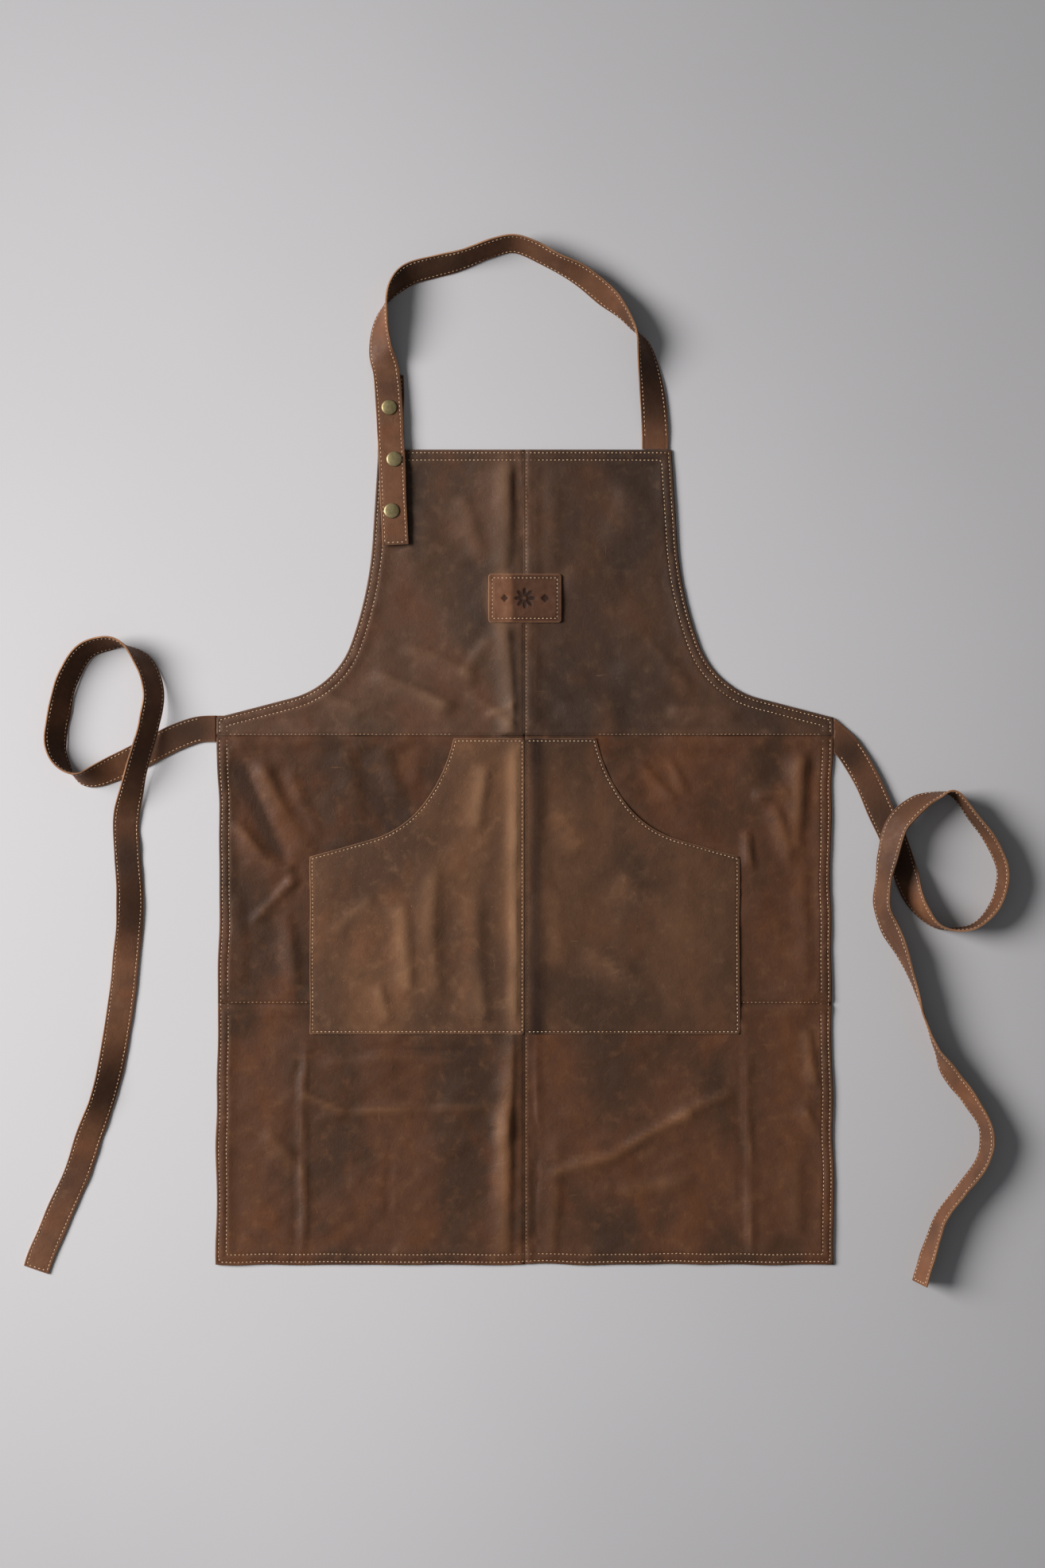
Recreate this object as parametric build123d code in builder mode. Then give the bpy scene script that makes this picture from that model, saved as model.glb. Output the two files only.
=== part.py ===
from build123d import *

import os
from math import cos, radians, sin, sqrt

# Leather butcher apron lying face up on a flat surface, as an assembly of cut panels, straps,
# thread and snaps.
#
# Units are millimetres. +Z is up, out of the apron's front face, and z = 0 is the surface it
# lies on. +Y runs towards the neck and +X to the right. The origin is where the centre seam
# crosses the waist seam. Each body panel has its outer margin turned under as a hem and its seam
# allowances pressed flat behind it. Each strap is two plies of leather sewn together along both
# edges. Only the lining ply runs on under the panel.

# Leather
PANEL = 1.4  # thickness of the body leather
PLY = 1.0  # thickness of one strap ply
STRAP_WIDTH = 26.0
GLUE = 0.02  # gap between the two plies of a strap
BACK = PANEL  # height of the panels' back face, on top of one layer of turned hem
FRONT = BACK + PANEL  # height of the panels' front face

# Outline of the body
HALF_WIDTH = 305.0
HEM_BOTTOM = -523.0
KNEE_SEAM = -265.0
BIB_TOP = 283.0
BIB_HALF_TOP = 145.0
CORNER_Y = 18.0  # where the armhole meets the side edge
ARMHOLE = ((150.5, 195.0), (172.0, 91.0), (232.0, 37.0))  # where its arcs and lines meet
HEM = 12.0  # width of the turned margin
ALLOWANCE = 10.0  # width of leather turned back at a seam
SEAM_GAP = 0.3  # half the groove between two joined panels
SEAM_MARGIN = 4.0  # how far thread rows stop short of a seam

# Pocket
POCKET_LIFT = 0.1
POCKET_BASE = FRONT + POCKET_LIFT
POCKET_TOP = -2.5
POCKET_HALF_TOP = 70.5
POCKET_HALF = 213.0
POCKET_CORNER_Y = -119.5
POCKET_BOTTOM = -295.0
MOUTH = ((100.0, -67.0), (150.0, -102.0))  # where the hand opening's arcs and line meet
MOUTH_START = (0.21, -0.98)  # direction in which the hand opening leaves the waist

# Patch
PATCH_WIDTH = 72.0
PATCH_HEIGHT = 48.0
PATCH_Y = 136.0
PATCH_THICK = 1.5
PATCH_CORNER = 3.0
EMBLEM_DEPTH = 0.4
PETALS = 8
PETAL_SIZE = (3.4, 1.5)  # half the length and half the width of one petal
PETAL_RING = 5.0  # radius of the ring of petal centres
LOZENGE_X = 18.0
LOZENGE_SIZE = 5.5  # side of the square turned on its corner

# Thread
THREAD_WIDTH = 0.7
THREAD_HEIGHT = 0.3
HEM_ROWS = (3.2, 10.4)  # distances of the two hem rows from the edge
EDGE_ROW = 2.6  # distance of a single row from a raw edge
PATCH_ROW = 4.0  # distance of the patch's row from its edge
SEAM_ROW = 1.6  # distance of a seam's row from the seam
ROW_CLEAR = 1.5  # how far a seam row stays from anything sewn on top
THREAD_CLEAR = 0.05

# Neck strap, its tab and the snaps
ROOT_LENGTH = 20.0  # lining ply sewn under the panel
ROOT_GAP = 0.3
STRAP_ROOT_X = 129.0
TAB_X = -132.5
TAB_TOP = 356.5
TAB_BASE = BACK - PLY
LEG_BASE = 5.8  # underside of the strap where it runs flat over the tab and the bib
LEG_TOP_Y = 358.0
TAIL_END = 189.0
FOLD_GAP = 0.4
SNAP_Y = (324.0, 273.0, 222.0)
LEG_X = -134.0  # middle of the strap's left leg at the upper snap
LEG_SLANT = -0.048  # sideways run of that leg per unit of y
CAP_RADIUS = 7.5
CAP_HEIGHT = 2.2
POST_RADIUS = 1.8
SOCKET_RADIUS = 6.2
SOCKET_HEIGHT = 2.5
SOCKET_PLATE = 0.7
SOCKET_LIP = 0.5
CAVITY_RADIUS = 3.9
MOUTH_RADIUS = 3.0
STUD_FLANGE = 5.5
STUD_HEAD = 2.7
STUD_NECK = 2.3
EYELET_FLANGE = 5.0
EYELET_TUBE = 1.8
EYELET_THICK = 0.4
SPRING_WIRE = 0.4  # radius of the spring's wire
SPRING_ARC = 320  # degrees of a full turn, so the ring can open
STUD_PLATE = 0.6
STUD_WALL = 0.4
STUD_HEAD_HEIGHT = 1.0
STUD_BEVEL = 0.3
SNAP_CLEAR = 0.1

SECTIONS_PER_SPAN = 3  # cross-sections of a strap between two stations of its path

# Strap centrelines: (x, y, roll in degrees, lift). Roll turns the strap's face about its direction of
# travel, from face up at 0 to standing on edge at 90. Lift is extra height over the surface.
NECK_PATH = (
    (STRAP_ROOT_X, BIB_TOP, 0, 0.4),
    (STRAP_ROOT_X, 299, -4, 0.4),
    (127, 328, -14, 0.4),
    (123, 357, -32, 0.2),
    (117, 385, -60, 0),
    (108, 401, -90, 0),
    (94, 420, -116, 0),
    (77, 437, -138, 0),
    (55, 454, -135, 0),
    (30, 467, -122, 0),
    (6, 480, -124, 0),
    (-13, 485, -124, 0),
    (-36, 479, -122, 0),
    (-63, 469, -128, 0),
    (-92, 462, -137, 0),
    (-112, 456, -137, 0),
    (-126, 445, -122, 0),
    (-136, 429, -90, 0),
    (-142, 405, -54, 0.8),
    (-142, 380, -26, 3),
    (-137, LEG_TOP_Y, 0, LEG_BASE),
    (-134, 324, 0, LEG_BASE),
    (-132, BIB_TOP, 0, LEG_BASE),
)
TIE_LEFT_PATH = (
    (-290, 7, 0, 0.4),
    (-306, 7, 0, 0.4),
    (-324, 6, 2, 0.2),
    (-344, -1, 3, 0),
    (-370, -14, 3, 0),
    (-402, -30, 14, 0),
    (-430, -42, 48, 0),
    (-447, -37, 90, 0),
    (-460, -20, 124, 0),
    (-463, 0, 138, 0),
    (-459, 26, 139, 0),
    (-451, 56, 136, 0),
    (-435, 82, 127, 0),
    (-413, 91, 119, 0),
    (-393, 88, 90, 0),
    (-374, 69, 52, 0),
    (-366, 42, 45, 2.5),
    (-370, 12, 46, 6),
    (-378, -17, 46, 6),
    (-387, -50, 36, 2.5),
    (-394, -84, 12, 0),
    (-393, -122, 4, 0),
    (-390, -161, 16, 0),
    (-393, -205, 6, 0),
    (-399, -262, 4, 0),
    (-407, -315, 18, 0),
    (-416, -355, 26, 0),
    (-430, -394, 12, 0),
    (-443, -432, 4, 0),
    (-461, -473, 0, 0),
    (-475, -505, 0, 0),
    (-483, -528, 0, 0),
)
TIE_RIGHT_PATH = (
    (290, 13, 0, 0.4),
    (305, 1, 0, 0.4),
    (322, -16, -3, 0.2),
    (338, -44, -6, 0),
    (352, -75, -7, 0),
    (366, -106, -9, 0),
    (375, -134, -24, 0),
    (386, -164, -54, 0),
    (404, -186, -78, 0),
    (424, -191, -92, 0),
    (446, -186, -96, 0),
    (465, -164, -104, 0),
    (471, -134, -107, 0),
    (461, -107, -108, 0),
    (441, -79, -104, 0),
    (423, -57, -100, 0),
    (405, -59, -76, 1),
    (384, -69, -50, 6),
    (366, -88, -38, 9.5),
    (357, -117, -46, 9.5),
    (353, -143, -60, 5),
    (352, -168, -60, 0.5),
    (360, -190, -52, 0),
    (372, -215, -70, 0),
    (384, -246, -88, 0),
    (394, -278, -96, 0),
    (405, -307, -88, 0),
    (420, -334, -58, 0),
    (438, -358, -60, 0),
    (454, -386, -68, 0),
    (452, -417, -70, 0),
    (431, -447, -74, 0),
    (411, -473, -74, 0),
    (400, -504, -66, 0),
    (389, -540, -64, 0),
)
TIE_ROOT_Y = {-1: 7.0, 1: 1.0}  # middle of each tie where it leaves the panel


def save(part, label):
    """Names a finished piece and writes it as a STEP file."""
    part.label = label
    export_step(part, f"parts/{label}.step")


# ---------------------------------------------------------------- body panels


def whole_outline(inset=0.0):
    """Face of the whole body, pulled in from its edge by inset."""
    with BuildSketch(mode=Mode.PRIVATE) as whole:
        with BuildLine():
            for side in (-1, 1):
                top, bend, tip = [(side * x, y) for x, y in ARMHOLE]
                Line((0, BIB_TOP), (side * BIB_HALF_TOP, BIB_TOP))
                edge = Line((side * BIB_HALF_TOP, BIB_TOP), top)
                upper = TangentArc(top, bend, tangent=edge % 1)
                TangentArc(bend, tip, tangent=upper % 1)
                Polyline(
                    tip,
                    (side * HALF_WIDTH, CORNER_Y),
                    (side * HALF_WIDTH, HEM_BOTTOM),
                    (0, HEM_BOTTOM),
                )
        make_face()
        if inset:
            offset(amount=-inset, kind=Kind.ARC, mode=Mode.REPLACE)
    return whole.sketch


def band(side, low, high):
    """Face of one body panel: one half of the outline between two levels, less the seam grooves."""
    width = HALF_WIDTH + HEM
    with BuildSketch(mode=Mode.PRIVATE) as face:
        add(whole_outline())
        with Locations((side * (SEAM_GAP + width / 2), (low + high) / 2)):
            Rectangle(width, high - low, mode=Mode.INTERSECT)
    return face.sketch


def turned_margin(side, low, high, hem_inner, seams):
    """Face of the leather turned under a panel: its stretch of hem and its seam allowances."""
    with BuildSketch(mode=Mode.PRIVATE) as margin:
        add(band(side, low, high))
        add(hem_inner, mode=Mode.SUBTRACT)
    with BuildSketch(mode=Mode.PRIVATE) as allowances:
        with Locations((side * (SEAM_GAP + ALLOWANCE / 2), (low + high) / 2)):
            Rectangle(ALLOWANCE, high - low)
        for seam, towards in seams:
            with Locations((side * HALF_WIDTH / 2, seam + towards * ALLOWANCE / 2)):
                Rectangle(HALF_WIDTH, ALLOWANCE)
        add(band(side, low, high), mode=Mode.INTERSECT)
    with BuildSketch(mode=Mode.PRIVATE) as both:
        add(margin.sketch)
        add(allowances.sketch)
    return both.sketch


def root_pocket(x, y, size_x, size_y):
    """Cuts room under the panel for a strap's lining ply."""
    with BuildSketch(Plane.XY) as room:
        with Locations((x, y)):
            Rectangle(size_x + 2 * ROOT_GAP, size_y + 2 * ROOT_GAP)
    extrude(room.sketch, amount=BACK, mode=Mode.SUBTRACT)


def body_panel(label, side, low, high, seams, roots=()):
    hem_inner = whole_outline(HEM)
    with BuildPart() as panel:
        with BuildSketch(Plane.XY.offset(BACK)):
            add(band(side, low, high))
        extrude(amount=PANEL)
        with BuildSketch(Plane.XY):
            add(turned_margin(side, low, high, hem_inner, seams))
        extrude(amount=BACK)
        for root in roots:
            root_pocket(*root)
    save(panel.part, label)


def tie_root_place(side):
    """Centre and size of the tie's ply under the side hem."""
    return (
        side * (HALF_WIDTH - ROOT_LENGTH / 2),
        TIE_ROOT_Y[side],
        ROOT_LENGTH,
        STRAP_WIDTH,
    )


def body_panels():
    neck_roots = {
        -1: (TAB_X, BIB_TOP - ROOT_LENGTH / 2, STRAP_WIDTH, ROOT_LENGTH),
        1: (STRAP_ROOT_X, BIB_TOP - ROOT_LENGTH / 2, STRAP_WIDTH, ROOT_LENGTH),
    }
    for side, hand in ((-1, "left"), (1, "right")):
        tie = tie_root_place(side)
        body_panel(
            f"bib_panel_{hand}",
            side,
            SEAM_GAP,
            BIB_TOP,
            [(SEAM_GAP, 1)],
            [tie, neck_roots[side]],
        )
        body_panel(
            f"waist_panel_{hand}",
            side,
            KNEE_SEAM + SEAM_GAP,
            -SEAM_GAP,
            [(-SEAM_GAP, -1), (KNEE_SEAM + SEAM_GAP, 1)],
            [tie],
        )
        body_panel(
            f"skirt_panel_{hand}",
            side,
            HEM_BOTTOM,
            KNEE_SEAM - SEAM_GAP,
            [(KNEE_SEAM - SEAM_GAP, -1)],
        )


# ---------------------------------------------------------------- pocket and patch


def pocket_face(side):
    """Face of one pocket half, with its curved hand opening."""
    with BuildSketch(mode=Mode.PRIVATE) as face:
        with BuildLine():
            start = (side * POCKET_HALF_TOP, POCKET_TOP)
            bend, tip = [(side * x, y) for x, y in MOUTH]
            upper = TangentArc(start, bend, tangent=(side * MOUTH_START[0], MOUTH_START[1]))
            TangentArc(bend, tip, tangent=upper % 1)
            Polyline(
                tip,
                (side * POCKET_HALF, POCKET_CORNER_Y),
                (side * POCKET_HALF, POCKET_BOTTOM),
                (side * SEAM_GAP, POCKET_BOTTOM),
                (side * SEAM_GAP, POCKET_TOP),
                (side * POCKET_HALF_TOP, POCKET_TOP),
            )
        make_face()
    return face.sketch


def pocket():
    for side, hand in ((-1, "left"), (1, "right")):
        with BuildPart() as half:
            with BuildSketch(Plane.XY.offset(POCKET_BASE)):
                add(pocket_face(side))
            extrude(amount=PANEL)
        save(half.part, f"pocket_{hand}")


def patch():
    with BuildPart() as plate:
        with BuildSketch(Plane.XY.offset(FRONT)):
            with Locations((0, PATCH_Y)):
                RectangleRounded(PATCH_WIDTH, PATCH_HEIGHT, PATCH_CORNER)
        extrude(amount=PATCH_THICK)
        with BuildSketch(Plane.XY.offset(FRONT + PATCH_THICK)):
            with Locations((0, PATCH_Y)):
                with PolarLocations(PETAL_RING, PETALS):
                    Ellipse(*PETAL_SIZE)
            with Locations((-LOZENGE_X, PATCH_Y), (LOZENGE_X, PATCH_Y)):
                Rectangle(LOZENGE_SIZE, LOZENGE_SIZE, rotation=45)
        extrude(amount=-EMBLEM_DEPTH, mode=Mode.SUBTRACT)
    save(plate.part, "patch")


def patch_thread():
    """One row just inside the patch's raw edge."""
    width = PATCH_WIDTH - 2 * PATCH_ROW
    height = PATCH_HEIGHT - 2 * PATCH_ROW
    with BuildPart() as rows:
        with BuildSketch(Plane.XY.offset(FRONT + PATCH_THICK)):
            with Locations((0, PATCH_Y)):
                Rectangle(width, height)
                Rectangle(
                    width - 2 * THREAD_WIDTH,
                    height - 2 * THREAD_WIDTH,
                    mode=Mode.SUBTRACT,
                )
        extrude(amount=THREAD_HEIGHT)
    save(rows.part, "patch_thread")


# ---------------------------------------------------------------- straps


def calm(before, after):
    """Slope joining two steps without overshooting: their harmonic mean, or level at a turn."""
    if before * after <= 0:
        return 0.0
    return 2 * before * after / (before + after)


def between(stations, place):
    """Smooth x, y, roll and lift at a place along stations, as cubic curves through them."""
    last = len(stations) - 1
    index = min(int(place), last - 1)
    t = place - index
    near = [stations[max(0, min(last, index + step))] for step in (-1, 0, 1, 2)]
    values = []
    for component, (a, b, c, d) in enumerate(zip(*near)):
        if component < 2:
            leave, arrive = (c - a) / 2, (d - b) / 2
        else:
            leave, arrive = calm(b - a, c - b), calm(c - b, d - c)
        values.append(
            (2 * t**3 - 3 * t**2 + 1) * b
            + (t**3 - 2 * t**2 + t) * leave
            + (3 * t**2 - 2 * t**3) * c
            + (t**3 - t**2) * arrive
        )
    return values


def strap_plane(stations, place, thickness=2 * PLY):
    """Plane across a strap: x along its width, y out of its face, z along its direction of travel.

    The strap's lower edge rests at its lift, whatever its roll.
    """
    x, y, roll, lift = between(stations, place)
    step = 0.02
    last = len(stations) - 1
    before = between(stations, max(0, place - step))
    after = between(stations, min(last, place + step))
    travel = Vector(after[0] - before[0], after[1] - before[1], 0).normalized()
    left = Vector(0, 0, 1).cross(travel)
    turn = radians(roll)
    normal = Vector(0, 0, 1) * cos(turn) + left * sin(turn)
    rest = STRAP_WIDTH / 2 * abs(sin(turn)) + thickness / 2 * abs(cos(turn))
    height = lift + rest
    return Plane(origin=(x, y, height), x_dir=normal.cross(travel), z_dir=travel)


def strap_bar(stations, width, height, across, out, skip=0):
    """Adds a bar that follows a strap, offset across it and out of its face.

    skip is the number of cross-sections left out at each end.
    """
    count = (len(stations) - 1) * SECTIONS_PER_SPAN
    sections = []
    for step in range(skip, count + 1 - skip):
        with BuildSketch(strap_plane(stations, step / SECTIONS_PER_SPAN)) as section:
            with Locations((across, out)):
                Rectangle(width, height)
        sections.append(section.sketch)
    loft(sections=sections, ruled=True)


def strap_ply(label, stations, side, holes=(), cut=None):
    """One ply of a strap: side is 1 for the face ply and -1 for the lining. cut trims its start."""
    with BuildPart() as ply:
        strap_bar(stations, STRAP_WIDTH, PLY - GLUE, 0, side * (PLY + GLUE) / 2)
        for x, y in holes:
            with Locations((x, y, LEG_BASE + 3 * PLY)):
                Hole(POST_RADIUS + SNAP_CLEAR, depth=4 * PLY)
        if cut:
            split(bisect_by=cut, keep=Keep.TOP)
    save(ply.part, label)


def strap_thread(label, stations, skip):
    """Two rows of thread along a strap's edges, on its face."""
    across = STRAP_WIDTH / 2 - EDGE_ROW
    out = PLY + THREAD_CLEAR + THREAD_HEIGHT / 2
    with BuildPart() as rows:
        for row in (-across, across):
            strap_bar(stations, THREAD_WIDTH, THREAD_HEIGHT, row, out, skip)
    save(rows.part, label)


def flat_ply(label, corner_low, corner_high, base, thickness, holes=()):
    """A straight flat ply between two corners."""
    size = [high - low for low, high in zip(corner_low, corner_high)]
    centre = tuple((low + high) / 2 for low, high in zip(corner_low, corner_high))
    with BuildPart() as ply:
        with BuildSketch(Plane.XY.offset(base)):
            with Locations(centre):
                Rectangle(*size)
            for hole in holes:
                with Locations(hole):
                    Circle(POST_RADIUS + SNAP_CLEAR, mode=Mode.SUBTRACT)
        extrude(amount=thickness)
    save(ply.part, label)


def leg_x(y):
    """Centre of the strap's left leg at height y on the bib."""
    return LEG_X + LEG_SLANT * (y - SNAP_Y[0])


def tail_plane(base):
    """Plane along the neck strap's free end, origin on the fold line and +Y towards the neck."""
    down = Vector(leg_x(TAIL_END) - leg_x(BIB_TOP), TAIL_END - BIB_TOP, 0)
    across = Vector(0, 0, 1).cross(down.normalized())
    return Plane(
        origin=(leg_x(BIB_TOP), BIB_TOP, base), x_dir=across, z_dir=(0, 0, 1)
    )


def neck_strap():
    loop = NECK_PATH
    upper_snap = [(leg_x(SNAP_Y[0]), SNAP_Y[0])]
    strap_ply("neck_strap_face", start_clear(loop), 1, upper_snap)
    strap_ply("neck_strap_lining", start_clear(loop), -1, upper_snap)
    strap_thread("neck_strap_thread", start_clear(loop), 1)
    flat_ply(
        "neck_strap_root",
        (STRAP_ROOT_X - STRAP_WIDTH / 2, BIB_TOP - ROOT_LENGTH),
        (STRAP_ROOT_X + STRAP_WIDTH / 2, BIB_TOP),
        TAB_BASE,
        PLY,
    )


def start_clear(stations):
    """The same strap with both ends drawn in from the fold line, so that the loop can turn about it."""
    x, y, roll, lift = stations[0]
    end_x, end_y, end_roll, end_lift = stations[-1]
    first = (x, y + FOLD_GAP, roll, lift)
    last = (end_x, end_y + FOLD_GAP, end_roll, end_lift)
    return (first, *stations[1:-1], last)


def neck_strap_tail():
    """Free end of the neck strap, which lies on the bib below the fold line."""
    length = (BIB_TOP - TAIL_END) - FOLD_GAP
    for label, lift in (("lining", 0.0), ("face", PLY + GLUE)):
        plane = tail_plane(LEG_BASE + lift)
        with BuildPart() as ply:
            with BuildSketch(plane):
                with Locations((0, -FOLD_GAP - length / 2)):
                    Rectangle(STRAP_WIDTH, length)
                for y in SNAP_Y[1:]:
                    with Locations((0, y - BIB_TOP)):
                        Circle(POST_RADIUS + SNAP_CLEAR, mode=Mode.SUBTRACT)
            extrude(amount=PLY - GLUE)
        save(ply.part, f"neck_strap_tail_{label}")
    row_x = STRAP_WIDTH / 2 - EDGE_ROW
    with BuildPart() as rows:
        with BuildSketch(tail_plane(LEG_BASE + 2 * PLY)):
            with Locations((-row_x, -length / 2), (row_x, -length / 2)):
                Rectangle(THREAD_WIDTH, length - 2 * EDGE_ROW)
            with Locations((0, EDGE_ROW - length)):
                Rectangle(2 * row_x, THREAD_WIDTH)
        extrude(amount=THREAD_HEIGHT)
    save(rows.part, "neck_strap_tail_thread")


def neck_tab():
    """Short strap behind the bib's corner that carries the stud."""
    low_x, high_x = TAB_X - STRAP_WIDTH / 2, TAB_X + STRAP_WIDTH / 2
    stud_hole = [(leg_x(SNAP_Y[0]), SNAP_Y[0])]
    start = BIB_TOP + FOLD_GAP
    flat_ply(
        "neck_tab_lining",
        (low_x, start),
        (high_x, TAB_TOP),
        TAB_BASE,
        PLY - GLUE,
        stud_hole,
    )
    flat_ply(
        "neck_tab_face",
        (low_x, start),
        (high_x, TAB_TOP),
        TAB_BASE + PLY,
        PLY,
        stud_hole,
    )
    flat_ply(
        "neck_tab_root",
        (low_x, BIB_TOP - ROOT_LENGTH),
        (high_x, BIB_TOP),
        TAB_BASE,
        PLY,
    )
    with BuildPart() as rows:
        centre_y = (start + TAB_TOP) / 2
        length = TAB_TOP - start - 2 * EDGE_ROW
        width = STRAP_WIDTH - 2 * EDGE_ROW
        with BuildSketch(Plane.XY.offset(TAB_BASE + 2 * PLY)):
            with Locations((TAB_X, centre_y)):
                Rectangle(width + THREAD_WIDTH, length)
                Rectangle(
                    width - THREAD_WIDTH, length - 2 * THREAD_WIDTH, mode=Mode.SUBTRACT
                )
        extrude(amount=THREAD_HEIGHT)
    save(rows.part, "neck_tab_thread")


def ties():
    for side, hand, path in (
        (-1, "left", TIE_LEFT_PATH),
        (1, "right", TIE_RIGHT_PATH),
    ):
        edge = Plane.YZ.offset(HALF_WIDTH + FOLD_GAP)
        if side < 0:
            edge = Plane(origin=(-HALF_WIDTH - FOLD_GAP, 0, 0), z_dir=(-1, 0, 0))
        strap_ply(f"tie_{hand}_face", path, 1, cut=edge)
        strap_ply(f"tie_{hand}_lining", path, -1, cut=edge)
        strap_thread(f"tie_{hand}_thread", path, 2 * SECTIONS_PER_SPAN)
        x, y, size_x, size_y = tie_root_place(side)
        flat_ply(
            f"tie_{hand}_root",
            (x - size_x / 2, y - size_y / 2),
            (x + size_x / 2, y + size_y / 2),
            TAB_BASE,
            PLY,
        )


# ---------------------------------------------------------------- snaps


def snap_place(index):
    return (leg_x(SNAP_Y[index]), SNAP_Y[index])


def placed(shape, places):
    """Copies of a shape made about the z axis, one at each (x, y)."""
    with BuildPart() as group:
        with Locations(*[(x, y, 0) for x, y in places]):
            add(shape)
    return group.part


def revolved(label, outline, places):
    """Solids turned about vertical axes at the given places, from an outline of (radius, height)."""
    with BuildPart() as turned:
        with BuildSketch(Plane.XZ):
            with BuildLine():
                Polyline(*outline, close=True)
            make_face()
        revolve(axis=Axis.Z)
    save(placed(turned.part, places), label)


def snap_caps(label, places):
    """Domed caps whose posts pass through the strap and grip the sockets."""
    top = LEG_BASE + 2 * PLY
    rim = top + CAP_HEIGHT / 3
    dome = top + CAP_HEIGHT - rim
    ball = (CAP_RADIUS**2 + dome**2) / (2 * dome)
    middle = top + CAP_HEIGHT - ball + sqrt(ball**2 - (CAP_RADIUS / 2) ** 2)
    with BuildPart() as turned:
        with BuildSketch(Plane.XZ):
            with BuildLine():
                Polyline(
                    (0, top + CAP_HEIGHT),
                    (0, LEG_BASE - SOCKET_PLATE),
                    (POST_RADIUS, LEG_BASE - SOCKET_PLATE),
                    (POST_RADIUS, top),
                    (CAP_RADIUS, top),
                    (CAP_RADIUS, rim),
                )
                ThreePointArc(
                    (CAP_RADIUS, rim),
                    (CAP_RADIUS / 2, middle),
                    (0, top + CAP_HEIGHT),
                )
            make_face()
        revolve(axis=Axis.Z)
    save(placed(turned.part, places), label)


def snap_sockets(label, places):
    """Socket rings under the strap, open downwards to take a stud."""
    base = LEG_BASE - SOCKET_HEIGHT
    plate = LEG_BASE - SOCKET_PLATE
    lip = base + SOCKET_LIP
    outline = (
        (POST_RADIUS + SNAP_CLEAR, LEG_BASE),
        (POST_RADIUS + SNAP_CLEAR, plate),
        (CAVITY_RADIUS, plate),
        (CAVITY_RADIUS, lip),
        (MOUTH_RADIUS, lip),
        (MOUTH_RADIUS, base),
        (SOCKET_RADIUS, base),
        (SOCKET_RADIUS, LEG_BASE),
    )
    revolved(label, outline, places)


def snap_springs(label, places):
    """Split wire rings inside the sockets that close behind a stud's head."""
    ring = CAVITY_RADIUS - SPRING_WIRE - SNAP_CLEAR
    middle = LEG_BASE - SOCKET_HEIGHT + SOCKET_LIP + SPRING_WIRE + SNAP_CLEAR
    with BuildPart() as turned:
        with BuildSketch(Plane.XZ):
            with Locations((ring, middle)):
                Circle(SPRING_WIRE)
        revolve(axis=Axis.Z, revolution_arc=SPRING_ARC)
    save(placed(turned.part, places), label)


def snaps():
    upper, lower = [snap_place(0)], [snap_place(1), snap_place(2)]
    for name, places in (("upper", upper), ("lower", lower)):
        snap_caps(f"snap_cap_{name}", places)
        snap_sockets(f"snap_socket_{name}", places)
        snap_springs(f"snap_spring_{name}", places)
    tab_top = TAB_BASE + 2 * PLY
    head_top = LEG_BASE - SOCKET_PLATE - 3 * SNAP_CLEAR
    bore = EYELET_TUBE + SNAP_CLEAR / 2
    stud = (
        (bore, tab_top),
        (STUD_FLANGE, tab_top),
        (STUD_FLANGE, tab_top + STUD_PLATE),
        (STUD_NECK, tab_top + STUD_PLATE),
        (STUD_NECK, head_top - STUD_HEAD_HEIGHT),
        (STUD_HEAD, head_top - STUD_HEAD_HEIGHT + STUD_BEVEL),
        (STUD_HEAD - STUD_BEVEL, head_top),
        (0, head_top),
        (0, head_top - STUD_WALL),
        (bore, head_top - STUD_WALL),
    )
    revolved("snap_stud", stud, upper)
    tube_top = head_top - STUD_WALL - 2 * SNAP_CLEAR
    eyelet = (
        (EYELET_TUBE - EYELET_THICK, 0),
        (EYELET_FLANGE, 0),
        (EYELET_FLANGE, EYELET_THICK),
        (EYELET_TUBE, EYELET_THICK),
        (EYELET_TUBE, tube_top),
        (EYELET_TUBE - EYELET_THICK, tube_top),
    )
    revolved("snap_eyelet", eyelet, upper)


# ---------------------------------------------------------------- thread on the body


def thread_ring(inner_inset, clip_low, clip_high, base):
    """Adds the closed row of thread that follows the body's edge, kept between two levels."""
    with BuildSketch(Plane.XY.offset(base)) as ring:
        add(whole_outline(inner_inset - THREAD_WIDTH / 2))
        add(whole_outline(inner_inset + THREAD_WIDTH / 2), mode=Mode.SUBTRACT)
        with Locations((0, (clip_low + clip_high) / 2)):
            Rectangle(4 * HALF_WIDTH, clip_high - clip_low, mode=Mode.INTERSECT)
    extrude(ring.sketch, amount=THREAD_HEIGHT)


def straight_row(x0, y0, x1, y1, base):
    """Adds a straight row of thread along x or y."""
    width = max(abs(x1 - x0), THREAD_WIDTH)
    height = max(abs(y1 - y0), THREAD_WIDTH)
    with BuildSketch(Plane.XY.offset(base)) as row:
        with Locations(((x0 + x1) / 2, (y0 + y1) / 2)):
            Rectangle(width, height)
    extrude(row.sketch, amount=THREAD_HEIGHT)


def hem_threads():
    for label, low, high in (
        ("bib_hem_thread", SEAM_MARGIN, BIB_TOP),
        ("skirt_hem_thread", HEM_BOTTOM, -SEAM_MARGIN),
    ):
        with BuildPart() as rows:
            for inset in HEM_ROWS:
                thread_ring(inset, low, high, FRONT)
        save(rows.part, label)


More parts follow.
